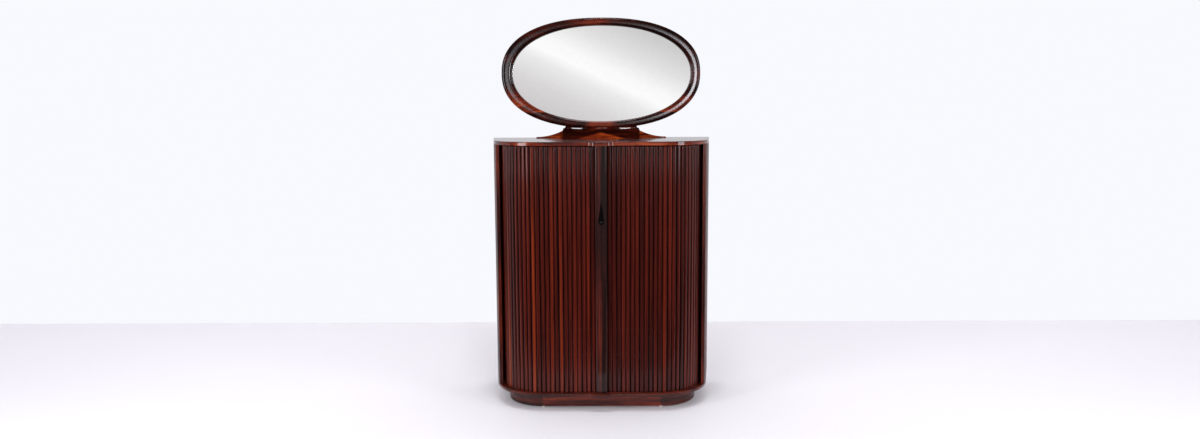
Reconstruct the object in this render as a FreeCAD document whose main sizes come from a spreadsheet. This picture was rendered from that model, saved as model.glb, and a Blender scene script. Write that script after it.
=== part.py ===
import FreeCAD, Part
import Sketcher
import math
import os

# A bachelor's chest with two tambour doors and a fixed oval mirror.
# Frame: +X to the viewer's right, +Y to the back, +Z up, origin on the floor below the middle.
# Lengths are millimetres and angles degrees.

os.makedirs("parts", exist_ok=True)
doc = FreeCAD.newDocument("tambour_chest")
sheet = doc.addObject("Spreadsheet::Sheet", "Sizes")

SIZES = [
    ("case_width", 1000, "over the rounded front corners, were they carried on to a quarter circle"),
    ("case_depth", 476, "flat front edge of the top to its back edge"),
    ("corner_radius", 243, "rounded front corners of the top and bottom, in plan"),
    ("splay_angle", 7.2, "how much the sides lean out towards the back, in plan"),
    ("front_bulge", 18, "how far the front edge swells over the meeting stiles"),
    ("bulge_inner", 22, "middle of the chest to where the swell starts to fall away"),
    ("bulge_outer", 66, "middle of the chest to where the swell ends"),
    ("opening_height", 1132, "between the bottom and the top"),
    ("top_thickness", 17, "top board"),
    ("top_round", 3, "round on the upper edge of the top"),
    ("bottom_thickness", 14, "bottom board"),
    ("bottom_round", 4, "round on the lower edge of the bottom"),
    ("side_thickness", 32, "side boards"),
    ("side_reach", 92, "how far a side follows the front corner"),
    ("back_thickness", 9, "back board"),
    ("plinth_height", 67, "plinth rails"),
    ("plinth_inset", 72, "plinth behind the front of the case"),
    ("plinth_side_inset", 55, "plinth inside the sides of the case at the front corners"),
    ("plinth_back_inset", 30, "plinth in front of the back"),
    ("plinth_wall", 20, "thickness of a plinth rail"),
    ("glide_height", 6, "floor glides"),
    ("glide_radius", 9, "floor glides"),
    ("case_dowel_radius", 5, "dowels between sides, top and bottom"),
    ("case_dowel_depth", 10, "how deep a dowel goes into each board"),
    ("face_inset", 20, "front edge of the top to the face of the slats"),
    ("slat_thickness", 11, "tambour slats"),
    ("slat_gap", 0.4, "between neighbouring slats"),
    ("slat_round", 7, "rounded front edges of a slat"),
    ("slat_clearance", 0.8, "slat and stile ends to the top and bottom"),
    ("canvas_thickness", 0.8, "cloth glued to the back of the slats"),
    ("tongue_thickness", 6, "slat tongues that run in the grooves"),
    ("tongue_length", 7, "slat tongues beyond the slat ends"),
    ("groove_clearance", 0.75, "each side of a tongue"),
    ("groove_depth", 8, "grooves in the top and bottom"),
    ("groove_end", 60, "middle of the back to the ends of the grooves"),
    ("track_radius", 195, "front bend of the canvas line"),
    ("rear_radius", 70, "rear bend of the canvas line"),
    ("side_gap", 3, "slat face to the inner face of a side"),
    ("back_gap", 3, "slat face to the back board"),
    ("curtain_wrap", 78, "angle of the front bend that a closed curtain reaches"),
    ("stile_width", 27, "meeting stile"),
    ("stile_proud", 12, "meeting stile in front of the slat face"),
    ("stile_round", 9, "outer front edge of a stile"),
    ("seam_gap", 0.8, "between the two closed stiles"),
    ("pull_bottom", 865, "lower end of the teardrop finger pull above the floor"),
    ("pull_height", 99, "teardrop finger pull"),
    ("pull_radius", 13, "round lower end of the finger pull"),
    ("pull_tip_radius", 1, "narrow upper end of the finger pull"),
    ("pocket_width", 54, "outer face of a pocket wall to the canvas line at the side"),
    ("inner_wall", 16, "pocket walls, divider and shelves"),
    ("curtain_clearance", 9, "front bend of the canvas line to the corners of the pocket walls"),
    ("inner_back_thickness", 9, "inner back board"),
    ("inner_back_gap", 7, "inner back board to the canvas line"),
    ("shelf_spacing", 370, "fixed shelf top to the adjustable shelf"),
    ("shelf_play", 1, "adjustable shelf to the walls beside it"),
    ("shelf_setback", 6, "shelf fronts behind the wall fronts"),
    ("pin_radius", 3, "shelf pins"),
    ("pin_depth", 8, "how far a shelf pin goes into the wall and stands out of it"),
    ("pin_inset", 60, "shelf pins from the front and back of a shelf"),
    ("drawer_height", 110, "inner drawers"),
    ("drawer_rear_gap", 8, "inner drawers to the inner back"),
    ("drawer_setback", 100, "drawer fronts behind the wall fronts"),
    ("drawer_play", 2, "drawer to the walls beside it and the runner above it"),
    ("drawer_front_thickness", 16, "drawer fronts"),
    ("drawer_wall", 10, "drawer sides and backs"),
    ("drawer_drop", 16, "drawer sides below the top of the front"),
    ("drawer_bottom_thickness", 6, "drawer bottoms"),
    ("drawer_bottom_height", 4, "drawer bottoms above the runners"),
    ("finger_radius", 24, "finger notch in a drawer front"),
    ("runner_height", 10, "drawer runners"),
    ("runner_width", 14, "drawer runners"),
    ("mirror_half_width", 480, "oval frame, outside"),
    ("mirror_half_height", 265, "oval frame, outside"),
    ("mirror_end_radius", 228, "small arcs of the outer oval"),
    ("mirror_gap", 44, "top board to the lowest point of the oval frame"),
    ("band_width", 46.5, "oval frame, from outside to opening at the two ends"),
    ("band_height", 31, "oval frame, from outside to opening above and below"),
    ("band_end", 35, "small arcs of the outer oval less those of the opening"),
    ("frame_depth", 40, "oval frame, front to back"),
    ("frame_outer_round", 13, "front outer edge of the frame"),
    ("frame_inner_round", 8, "front inner edge of the frame"),
    ("frame_back_gap", 52, "back of the frame to the back of the chest"),
    ("rebate_width", 8, "rebate behind the opening, all round"),
    ("rebate_depth", 16, "rebate, from the back of the frame"),
    ("glass_thickness", 5, "mirror glass"),
    ("back_board_thickness", 6, "board behind the glass"),
    ("rebate_play", 1, "glass and board inside the rebate"),
    ("clip_length", 34, "turn buttons that hold the board"),
    ("clip_width", 12, "turn buttons"),
    ("clip_thickness", 3, "turn buttons"),
    ("wing_half_width", 314, "mirror base, middle to a wing tip"),
    ("wing_tip_height", 4, "mirror base, height of a wing at its tip"),
    ("wing_height", 35, "mirror base, height of a wing where it meets the block"),
    ("wing_depth", 45, "mirror base, front to back at the wings"),
    ("block_half_width", 183, "mirror base, middle to a side of the block"),
    ("block_height", 46, "mirror base, sides of the block"),
    ("block_depth", 120, "mirror base, front to back at the block"),
    ("neck_half_width", 172, "mirror base where it meets the frame"),
    ("notch_depth", 5, "hollow at each end of the neck"),
    ("face_height", 42, "mirror base, upright front of the block"),
    ("hollow_height", 52, "mirror base, where the hollow above that front meets the frame"),
    ("base_back_gap", 30, "mirror base to the back of the chest"),
    ("mirror_dowel_radius", 6, "dowels between base and frame"),
    ("mirror_dowel_depth", 15, "how deep a mirror dowel goes each way"),
    ("mirror_dowel_x", 90, "mirror dowels from the middle"),
    ("screw_radius", 2.5, "screws through the top into the mirror base"),
    ("screw_head_radius", 5, "screw heads"),
    ("screw_head_height", 3, "screw heads"),
    ("screw_grip", 14, "how deep a screw goes into the base"),
    ("screw_x", 140, "screws from the middle"),
    ("screw_offset", 20, "screws in front of and behind the frame's middle"),
]
SECTIONS_PER_DOOR = 8
SLATS_PER_SECTION = 3
DRAWERS_PER_BAY = 3
DOWELS_PER_JOINT = 4
HANDS = (("left", -1), ("right", 1))

for row, (alias, value, note) in enumerate(SIZES, start=1):
    sheet.set(f"A{row}", note)
    sheet.set(f"B{row}", str(value))
    sheet.setAlias(f"B{row}", alias)
doc.recompute()


def of(formula):
    """The formula in brackets, ready to stand inside another one."""
    return f"({formula})"


def number(formula):
    return float(sheet.evalExpression(formula))


# Planes and levels that several pieces share.
HALF = of("Sizes.case_width / 2")
FRONT = of("(Sizes.front_bulge - Sizes.case_depth) / 2")
BACK = of("(Sizes.front_bulge + Sizes.case_depth) / 2")
BULGE_FRONT = f"({FRONT} - {of('Sizes.front_bulge')})"
CORNER_X = f"({HALF} - {of('Sizes.corner_radius')})"
CORNER_Y = f"({FRONT} + {of('Sizes.corner_radius')})"
PLINTH_TOP = of("Sizes.glide_height + Sizes.plinth_height")
FLOOR = f"({PLINTH_TOP} + {of('Sizes.bottom_thickness')})"
CEILING = f"({FLOOR} + {of('Sizes.opening_height')})"
TOP = f"({CEILING} + {of('Sizes.top_thickness')})"
SIDE_INNER = f"({HALF} - {of('Sizes.side_thickness')})"
CORNER_R = of("Sizes.corner_radius")

# The sides leave the rounded corners at a tangent and lean out to the back.
LEAN = "tan(Sizes.splay_angle)"
LEAN_X = f"({CORNER_X} + {CORNER_R} * cos(Sizes.splay_angle))"
LEAN_Y = f"({CORNER_Y} - {CORNER_R} * sin(Sizes.splay_angle))"
BACK_HALF = f"({LEAN_X} + ({BACK} - {LEAN_Y}) * {LEAN})"

# The canvas line: the path along which the cloth behind the slats runs.
TRACK_FRONT = f"({FRONT} + {of('Sizes.face_inset + Sizes.slat_thickness')})"
TRACK_SIDE = f"({SIDE_INNER} - {of('Sizes.side_gap + Sizes.slat_thickness')})"
TRACK_BACK = f"({BACK} - {of('Sizes.back_thickness + Sizes.back_gap + Sizes.slat_thickness')})"
BEND_X = f"({TRACK_SIDE} - {of('Sizes.track_radius')})"
BEND_Y = f"({TRACK_FRONT} + {of('Sizes.track_radius')})"
REAR_X = f"({TRACK_SIDE} - {of('Sizes.rear_radius')})"
REAR_Y = f"({TRACK_BACK} - {of('Sizes.rear_radius')})"

nodes = []


def keep(piece, label):
    """Names a finished sub-part."""
    piece.Label = label
    nodes.append(piece)
    return piece


def negative(formula):
    return f"(-1 * {formula})"


def handed(sign, formula):
    return formula if sign > 0 else negative(formula)


def board(label, x, y, z):
    """A flat board between two planes in each direction."""
    box = doc.addObject("Part::Box", label)
    for side, axis, (low, high) in zip(("Length", "Width", "Height"), "xyz", (x, y, z)):
        box.setExpression(side, f"{high} - {low}")
        box.setExpression(f"Placement.Base.{axis}", low)
    return box


def rod(label, radius, x, y, z_low, z_high):
    """An upright round rod."""
    cylinder = doc.addObject("Part::Cylinder", label)
    cylinder.setExpression("Radius", radius)
    cylinder.setExpression("Height", f"{z_high} - {z_low}")
    for axis, place in zip("xyz", (x, y, z_low)):
        cylinder.setExpression(f"Placement.Base.{axis}", place)
    return cylinder


def group(label, pieces):
    """Like pieces that share a node, each a solid of its own."""
    compound = doc.addObject("Part::Compound", label)
    compound.Links = pieces
    return compound


def span(sign, low, high):
    """The planes from low to high on the right, or their mirror image on the left."""
    return (low, high) if sign > 0 else (negative(high), negative(low))


def body_at(label, x="0", y="0", z="0"):
    body = doc.addObject("PartDesign::Body", label)
    for axis, place in zip("xyz", (x, y, z)):
        body.setExpression(f"Placement.Base.{axis}", place)
    return body


def outline(body, name, role, corners):
    """A closed sketch on one of the body's own planes.

    Each corner is (x, y), or (x, y, radius, turn) where an arc leads to the next corner:
    turn is 1 for counter-clockwise and -1 for clockwise.
    """
    plane = next(f for f in body.Origin.OriginFeatures if f.Role == role)
    sketch = body.newObject("Sketcher::SketchObject", name)
    sketch.AttachmentSupport = [(plane, "")]
    sketch.MapMode = "FlatFace"
    points = [FreeCAD.Vector(number(c[0]), number(c[1]), 0) for c in corners]
    up = FreeCAD.Vector(0, 0, 1)
    starts, ends = [], []
    for index, corner in enumerate(corners):
        start, end = points[index], points[(index + 1) % len(points)]
        if len(corner) == 2:
            sketch.addGeometry(Part.LineSegment(start, end))
            starts.append(1)
            ends.append(2)
            continue
        radius, turn = number(corner[2]), corner[3]
        chord = end - start
        height = math.sqrt(max(radius**2 - (chord.Length / 2) ** 2, 0))
        centre = (start + end) / 2 + up.cross(chord).normalize() * height * turn
        first, last = (start, end) if turn > 0 else (end, start)
        angles = [math.atan2(p.y - centre.y, p.x - centre.x) for p in (first, last)]
        if angles[1] < angles[0]:
            angles[1] += 2 * math.pi
        sketch.addGeometry(Part.ArcOfCircle(Part.Circle(centre, up, radius), *angles))
        starts.append(1 if turn > 0 else 2)
        ends.append(2 if turn > 0 else 1)
    for index, corner in enumerate(corners):
        after = (index + 1) % len(corners)
        sketch.addConstraint(
            Sketcher.Constraint("Coincident", index, ends[index], after, starts[after])
        )
        for kind, formula in zip(("DistanceX", "DistanceY"), corner[:2]):
            place = Sketcher.Constraint(kind, index, starts[index], number(formula))
            sketch.setExpression(f"Constraints[{sketch.addConstraint(place)}]", formula)
        if len(corner) > 2:
            bend = Sketcher.Constraint("Radius", index, number(corner[2]))
            sketch.setExpression(f"Constraints[{sketch.addConstraint(bend)}]", corner[2])
    return sketch


def pad(body, sketch, length):
    feature = body.newObject("PartDesign::Pad", f"{sketch.Name}_pad")
    feature.Profile = sketch
    feature.setExpression("Length", length)
    return feature


def pocket(body, sketch, length, reverse=False, middle=False):
    """A cut of that depth, or right through both ways from the middle."""
    doc.recompute()
    before = body.Shape.Volume
    feature = body.newObject("PartDesign::Pocket", f"{sketch.Name}_pocket")
    feature.Profile = sketch
    feature.Reversed = reverse
    feature.Midplane = middle
    feature.setExpression("Length", length)
    doc.recompute()
    if not body.Shape.Volume < before:
        raise RuntimeError(f"{feature.Name} cuts nothing")
    return feature


def rounded(body, feature, name, radius, wanted):
    """Rounds the edges of the feature that the test picks."""
    doc.recompute()
    edges = [
        f"Edge{number_}"
        for number_, edge in enumerate(feature.Shape.Edges, start=1)
        if wanted(edge)
    ]
    fillet = body.newObject("PartDesign::Fillet", name)
    fillet.Base = (feature, edges)
    fillet.setExpression("Radius", radius)
    return fillet


def level_edge(edge, level):
    """True for an edge that lies at that height of its body."""
    box = edge.BoundBox
    return abs(box.ZMin - level) < 0.01 and abs(box.ZMax - level) < 0.01


# Top and bottom: one plan, with rounded front corners and a swell over the meeting stiles.
SWELL_RISE = of("Sizes.front_bulge")
SWELL_RUN = of("Sizes.bulge_outer - Sizes.bulge_inner")
SWELL_RADIUS = f"(({SWELL_RUN}^2 + {SWELL_RISE}^2) / (4 * {SWELL_RISE}))"
SWELL_MIDDLE_X = of("(Sizes.bulge_inner + Sizes.bulge_outer) / 2")
SWELL_MIDDLE_Y = f"(({FRONT} + {BULGE_FRONT}) / 2)"
BULGE_IN, BULGE_OUT = of("Sizes.bulge_inner"), of("Sizes.bulge_outer")
CASE_PLAN = [
    (BACK_HALF, BACK),
    (negative(BACK_HALF), BACK),
    (negative(LEAN_X), LEAN_Y, CORNER_R, 1),
    (negative(CORNER_X), FRONT),
    (negative(BULGE_OUT), FRONT, SWELL_RADIUS, -1),
    (negative(SWELL_MIDDLE_X), SWELL_MIDDLE_Y, SWELL_RADIUS, 1),
    (negative(BULGE_IN), BULGE_FRONT),
    (BULGE_IN, BULGE_FRONT, SWELL_RADIUS, 1),
    (SWELL_MIDDLE_X, SWELL_MIDDLE_Y, SWELL_RADIUS, -1),
    (BULGE_OUT, FRONT),
    (CORNER_X, FRONT, CORNER_R, 1),
    (LEAN_X, LEAN_Y),
]

# The groove follows the canvas line from one end at the back, round the front, to the other.
GROOVE_OUT = of("Sizes.tongue_thickness + Sizes.groove_clearance")
GROOVE_IN = of("Sizes.groove_clearance")


def groove_side(sign, offset, to_front):
    """One edge of the groove on one side, stepped out from the canvas line by offset."""
    turn = -sign if to_front else sign
    x_bend, x_rear = handed(sign, BEND_X), handed(sign, REAR_X)
    x_side = handed(sign, f"({TRACK_SIDE} + {offset})")
    y_front, y_back = f"({TRACK_FRONT} - {offset})", f"({TRACK_BACK} + {offset})"
    front_r = f"({of('Sizes.track_radius')} + {offset})"
    rear_r = f"({of('Sizes.rear_radius')} + {offset})"
    x_end = handed(sign, of("Sizes.groove_end"))
    if to_front:
        return [
            (x_end, y_back),
            (x_rear, y_back, rear_r, turn),
            (x_side, REAR_Y),
            (x_side, BEND_Y, front_r, turn),
            (x_bend, y_front),
        ]
    return [
        (x_bend, y_front, front_r, turn),
        (x_side, BEND_Y),
        (x_side, REAR_Y, rear_r, turn),
        (x_rear, y_back),
        (x_end, y_back),
    ]


GROOVE_PLAN = (
    groove_side(1, GROOVE_OUT, True)
    + groove_side(-1, GROOVE_OUT, False)
    + groove_side(-1, negative(GROOVE_IN), True)
    + groove_side(1, negative(GROOVE_IN), False)
)


def case_board(label, level, thickness, radius, rounded_level, grooved_from_top):
    """The top or the bottom: a grooved board with one rounded rim."""
    body = body_at(label, z=level)
    plan = outline(body, f"{label}_plan", "XY_Plane", CASE_PLAN)
    slab = pad(body, plan, thickness)
    back = number(BACK)

    def rim(edge):
        on_back = edge.BoundBox.YMin > back - 0.01
        return level_edge(edge, number(rounded_level)) and not on_back

    rounded(body, slab, f"{label}_rim", radius, rim)
    groove = outline(body, f"{label}_groove", "XY_Plane", GROOVE_PLAN)
    if grooved_from_top:
        groove.setExpression("AttachmentOffset.Base.z", thickness)
    pocket(body, groove, of("Sizes.groove_depth"), reverse=not grooved_from_top)
    return keep(body, label)


case_board("bottom_panel", PLINTH_TOP, of("Sizes.bottom_thickness"), of("Sizes.bottom_round"), "0", True)
TOP_THICKNESS = of("Sizes.top_thickness")
case_board("top_panel", CEILING, TOP_THICKNESS, of("Sizes.top_round"), TOP_THICKNESS, False)

# Sides: upright boards whose front ends follow the rounded corners of the top and bottom.
SIDE_FRONT = f"({CORNER_Y} - {of('Sizes.side_reach')})"
SIDE_TIP_X = f"({CORNER_X} + sqrt({CORNER_R}^2 - {of('Sizes.side_reach')}^2))"
SIDE_ACROSS = of("Sizes.side_thickness / cos(Sizes.splay_angle)")


def side_face(y, inward="0"):
    """The leaning outer face of a side at that depth, or a plane inside it."""
    return f"({BACK_HALF} - {inward} - ({BACK} - {y}) * {LEAN})"


SIDE_BACK_INNER = side_face(BACK, SIDE_ACROSS)
SIDE_KNEE_Y = f"({BACK} - ({SIDE_BACK_INNER} - {SIDE_INNER}) / {LEAN})"
for hand, sign in HANDS:
    side = body_at(f"{hand}_side", z=FLOOR)
    plan = [
        (handed(sign, SIDE_BACK_INNER), BACK),
        (handed(sign, SIDE_INNER), SIDE_KNEE_Y),
        (handed(sign, SIDE_INNER), SIDE_FRONT),
        (handed(sign, SIDE_TIP_X), SIDE_FRONT, CORNER_R, sign),
        (handed(sign, LEAN_X), LEAN_Y),
        (handed(sign, BACK_HALF), BACK),
    ]
    pad(side, outline(side, f"{hand}_side_plan", "XY_Plane", plan), of("Sizes.opening_height"))
    keep(side, f"{hand}_side")

INSIDE = (FLOOR, CEILING)
BACK_FACE = f"({BACK} - {of('Sizes.back_thickness')})"
back = body_at("back", z=FLOOR)
BACK_FACE_HALF = side_face(BACK_FACE, SIDE_ACROSS)
back_plan = [
    (SIDE_BACK_INNER, BACK),
    (negative(SIDE_BACK_INNER), BACK),
    (negative(BACK_FACE_HALF), BACK_FACE),
    (BACK_FACE_HALF, BACK_FACE),
]
pad(back, outline(back, "back_plan", "XY_Plane", back_plan), of("Sizes.opening_height"))
keep(back, "back_panel")

dowels = []
for hand, sign in HANDS:
    for level, height in (("low", FLOOR), ("high", CEILING)):
        for step in range(DOWELS_PER_JOINT):
            share = (step + 0.5) / DOWELS_PER_JOINT
            place = f"({CORNER_Y} + ({BACK} - {CORNER_Y}) * {share})"
            depth = of("Sizes.case_dowel_depth")
            ends = (f"({height} - {depth})", f"({height} + {depth})")
            name = f"{hand}_{level}_dowel_{step + 1}"
            radius = of("Sizes.case_dowel_radius")
            across = handed(sign, side_face(place, f"({SIDE_ACROSS} / 2)"))
            dowels.append(rod(name, radius, across, place, *ends))
keep(group("dowels", dowels), "case_dowels")

# Plinth: four rails, the side ones bent round the front corners, on small glides.
PLINTH_LEVELS = (of("Sizes.glide_height"), PLINTH_TOP)
PLINTH_FRONT = f"({FRONT} + {of('Sizes.plinth_inset')})"
PLINTH_SIDE = f"({HALF} - {of('Sizes.plinth_side_inset')})"
PLINTH_BACK = f"({BACK} - {of('Sizes.plinth_back_inset')})"
PLINTH_R = f"({CORNER_R} - {of('Sizes.plinth_inset')})"
PLINTH_CORNER_X = f"({PLINTH_SIDE} - {PLINTH_R})"
WALL = of("Sizes.plinth_wall")
PLINTH_INNER_SIDE = f"({PLINTH_SIDE} - {WALL})"
keep(
    board(
        "front_rail",
        (negative(PLINTH_CORNER_X), PLINTH_CORNER_X),
        (PLINTH_FRONT, f"({PLINTH_FRONT} + {WALL})"),
        PLINTH_LEVELS,
    ),
    "plinth_front",
)
keep(
    board(
        "back_rail",
        (negative(PLINTH_INNER_SIDE), PLINTH_INNER_SIDE),
        (f"({PLINTH_BACK} - {WALL})", PLINTH_BACK),
        PLINTH_LEVELS,
    ),
    "plinth_back",
)
for hand, sign in HANDS:
    rail = body_at(f"{hand}_rail", z=of("Sizes.glide_height"))
    plan = [
        (handed(sign, PLINTH_CORNER_X), PLINTH_FRONT, PLINTH_R, sign),
        (handed(sign, PLINTH_SIDE), CORNER_Y),
        (handed(sign, PLINTH_SIDE), PLINTH_BACK),
        (handed(sign, PLINTH_INNER_SIDE), PLINTH_BACK),
        (handed(sign, PLINTH_INNER_SIDE), CORNER_Y, f"({PLINTH_R} - {WALL})", -sign),
        (handed(sign, PLINTH_CORNER_X), f"({PLINTH_FRONT} + {WALL})"),
    ]
    pad(rail, outline(rail, f"{hand}_rail_plan", "XY_Plane", plan), of("Sizes.plinth_height"))
    keep(rail, f"plinth_{hand}")

RAIL_MIDDLE_X = f"({PLINTH_SIDE} - {WALL} / 2)"
GLIDE_PLACES = [
    (PLINTH_CORNER_X, f"({PLINTH_FRONT} + {WALL} / 2)"),
    (RAIL_MIDDLE_X, CORNER_Y),
    (RAIL_MIDDLE_X, f"({PLINTH_BACK} - {WALL})"),
]
glides = [
    rod(f"{hand}_glide_{row}", of("Sizes.glide_radius"), handed(sign, x), y, "0", of("Sizes.glide_height"))
    for hand, sign in HANDS
    for row, (x, y) in enumerate(GLIDE_PLACES)
]
keep(group("glides", glides), "floor_glides")

# Inner boards: walls that hide the curtain's pockets, a divider and an inner back.
POCKET_X = f"({TRACK_SIDE} - {of('Sizes.pocket_width')})"
BAY_OUTER = f"({POCKET_X} - {of('Sizes.inner_wall')})"
BAY_INNER = of("Sizes.inner_wall / 2")
BEND_INSIDE = of("Sizes.track_radius - Sizes.curtain_clearance")
INNER_FRONT = f"({BEND_Y} - sqrt({BEND_INSIDE}^2 - ({POCKET_X} - {BEND_X})^2))"
INNER_BACK_REAR = f"({TRACK_BACK} - {of('Sizes.inner_back_gap')})"
INNER_BACK = f"({INNER_BACK_REAR} - {of('Sizes.inner_back_thickness')})"
for hand, sign in HANDS:
    wall = board(f"{hand}_wall", span(sign, BAY_OUTER, POCKET_X), (INNER_FRONT, INNER_BACK), INSIDE)
    keep(wall, f"{hand}_pocket_wall")
divider = board("divider", (negative(BAY_INNER), BAY_INNER), (INNER_FRONT, INNER_BACK), INSIDE)
keep(divider, "centre_divider")
inner_back = board("rear", (negative(POCKET_X), POCKET_X), (INNER_BACK, INNER_BACK_REAR), INSIDE)
keep(inner_back, "inner_back")

# Drawers: three in each bay, set back on runners, each a notched front and a box.
SHELF_FRONT = f"({INNER_FRONT} + {of('Sizes.shelf_setback')})"
DRAWER_FRONT = f"({INNER_FRONT} + {of('Sizes.drawer_setback')})"
DRAWER_BOX = f"({DRAWER_FRONT} + {of('Sizes.drawer_front_thickness')})"
DRAWER_REAR = f"({INNER_BACK} - {of('Sizes.drawer_rear_gap')})"
DRAWER_PITCH = of("Sizes.drawer_height + Sizes.runner_height + Sizes.drawer_play")
DRAWER_WALL = of("Sizes.drawer_wall")
DRAWER_IN = f"({BAY_INNER} + {of('Sizes.drawer_play')})"
DRAWER_OUT = f"({BAY_OUTER} - {of('Sizes.drawer_play')})"
BAY_MIDDLE = f"(({BAY_INNER} + {BAY_OUTER}) / 2)"
for hand, sign in HANDS:
    runners = []
    for row in range(DRAWERS_PER_BAY):
        runner_foot = f"({FLOOR} + {row} * {DRAWER_PITCH})"
        foot = f"({runner_foot} + {of('Sizes.runner_height')})"
        edges = (
            (BAY_INNER, f"({BAY_INNER} + {of('Sizes.runner_width')})"),
            (f"({BAY_OUTER} - {of('Sizes.runner_width')})", BAY_OUTER),
        )
        for side, edge in zip(("in", "out"), edges):
            name = f"{hand}_runner_{side}_{row + 1}"
            runners.append(
                board(name, span(sign, *edge), (DRAWER_FRONT, INNER_BACK), (runner_foot, foot))
            )
        head = f"({foot} + {of('Sizes.drawer_height')})"
        name = f"{hand}_drawer_{row + 1}"
        face = board(
            f"{name}_face", span(sign, DRAWER_IN, DRAWER_OUT), (DRAWER_FRONT, DRAWER_BOX), (foot, head)
        )
        notch = doc.addObject("Part::Cylinder", f"{name}_notch")
        notch.setExpression("Radius", of("Sizes.finger_radius"))
        notch.setExpression("Height", of("Sizes.drawer_front_thickness * 2"))
        notch.Placement.Rotation = FreeCAD.Rotation(FreeCAD.Vector(1, 0, 0), -90)
        notch.setExpression("Placement.Base.x", handed(sign, BAY_MIDDLE))
        notch.setExpression("Placement.Base.y", f"{DRAWER_FRONT} - {of('Sizes.drawer_front_thickness / 2')}")
        notch.setExpression("Placement.Base.z", head)
        front = doc.addObject("Part::Cut", f"{name}_notched")
        front.Base, front.Tool = face, notch
        keep(front, f"{name}_front")

        wall_top = f"({head} - {of('Sizes.drawer_drop')})"
        inner_in, inner_out = f"({DRAWER_IN} + {DRAWER_WALL})", f"({DRAWER_OUT} - {DRAWER_WALL})"
        back_face = f"({DRAWER_REAR} - {DRAWER_WALL})"
        bottom = f"({foot} + {of('Sizes.drawer_bottom_height')})"
        bottom_top = f"({bottom} + {of('Sizes.drawer_bottom_thickness')})"
        along, up = (DRAWER_BOX, DRAWER_REAR), (foot, wall_top)
        walls = [
            board(f"{name}_wall_in", span(sign, DRAWER_IN, inner_in), along, up),
            board(f"{name}_wall_out", span(sign, inner_out, DRAWER_OUT), along, up),
            board(f"{name}_wall_back", span(sign, inner_in, inner_out), (back_face, DRAWER_REAR), up),
            board(
                f"{name}_bottom",
                span(sign, inner_in, inner_out),
                (DRAWER_BOX, back_face),
                (bottom, bottom_top),
            ),
        ]
        keep(group(f"{name}_walls", walls), f"{name}_box")
    keep(group(f"{hand}_runners", runners), f"{hand}_drawer_runners")

# Shelves: a fixed one above the drawers, and an adjustable one on pins above it.
FIXED_FOOT = f"({FLOOR} + {DRAWERS_PER_BAY} * {DRAWER_PITCH})"
FIXED_HEAD = f"({FIXED_FOOT} + {of('Sizes.inner_wall')})"
SHELF_FOOT = f"({FIXED_HEAD} + {of('Sizes.shelf_spacing')})"
SHELF_HEAD = f"({SHELF_FOOT} + {of('Sizes.inner_wall')})"
SHELF_IN = f"({BAY_INNER} + {of('Sizes.shelf_play')})"
SHELF_OUT = f"({BAY_OUTER} - {of('Sizes.shelf_play')})"
PIN_HEIGHT = f"({SHELF_FOOT} - {of('Sizes.pin_radius')})"
pins = []
for hand, sign in HANDS:
    fixed = board(
        f"{hand}_fixed", span(sign, BAY_INNER, BAY_OUTER), (SHELF_FRONT, INNER_BACK), (FIXED_FOOT, FIXED_HEAD)
    )
    keep(fixed, f"{hand}_fixed_shelf")
    loose = board(
        f"{hand}_loose", span(sign, SHELF_IN, SHELF_OUT), (SHELF_FRONT, INNER_BACK), (SHELF_FOOT, SHELF_HEAD)
    )
    keep(loose, f"{hand}_shelf")
    rows = (f"({SHELF_FRONT} + {of('Sizes.pin_inset')})", f"({INNER_BACK} - {of('Sizes.pin_inset')})")
    wall_faces = ((BAY_INNER, -1), (BAY_OUTER, 1))
    for row, y in enumerate(rows, start=1):
        for face, (x, inwards) in zip(("in", "out"), wall_faces):
            pin = doc.addObject("Part::Cylinder", f"{hand}_pin_{face}_{row}")
            pin.setExpression("Radius", of("Sizes.pin_radius"))
            pin.setExpression("Height", of("2 * Sizes.pin_depth"))
            pin.Placement.Rotation = FreeCAD.Rotation(FreeCAD.Vector(0, 1, 0), 90)
            pin.setExpression("Placement.Base.x", f"{handed(sign, x)} - {of('Sizes.pin_depth')}")
            pin.setExpression("Placement.Base.y", y)
            pin.setExpression("Placement.Base.z", PIN_HEIGHT)
            pins.append(pin)
keep(group("pins", pins), "shelf_pins")

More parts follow.
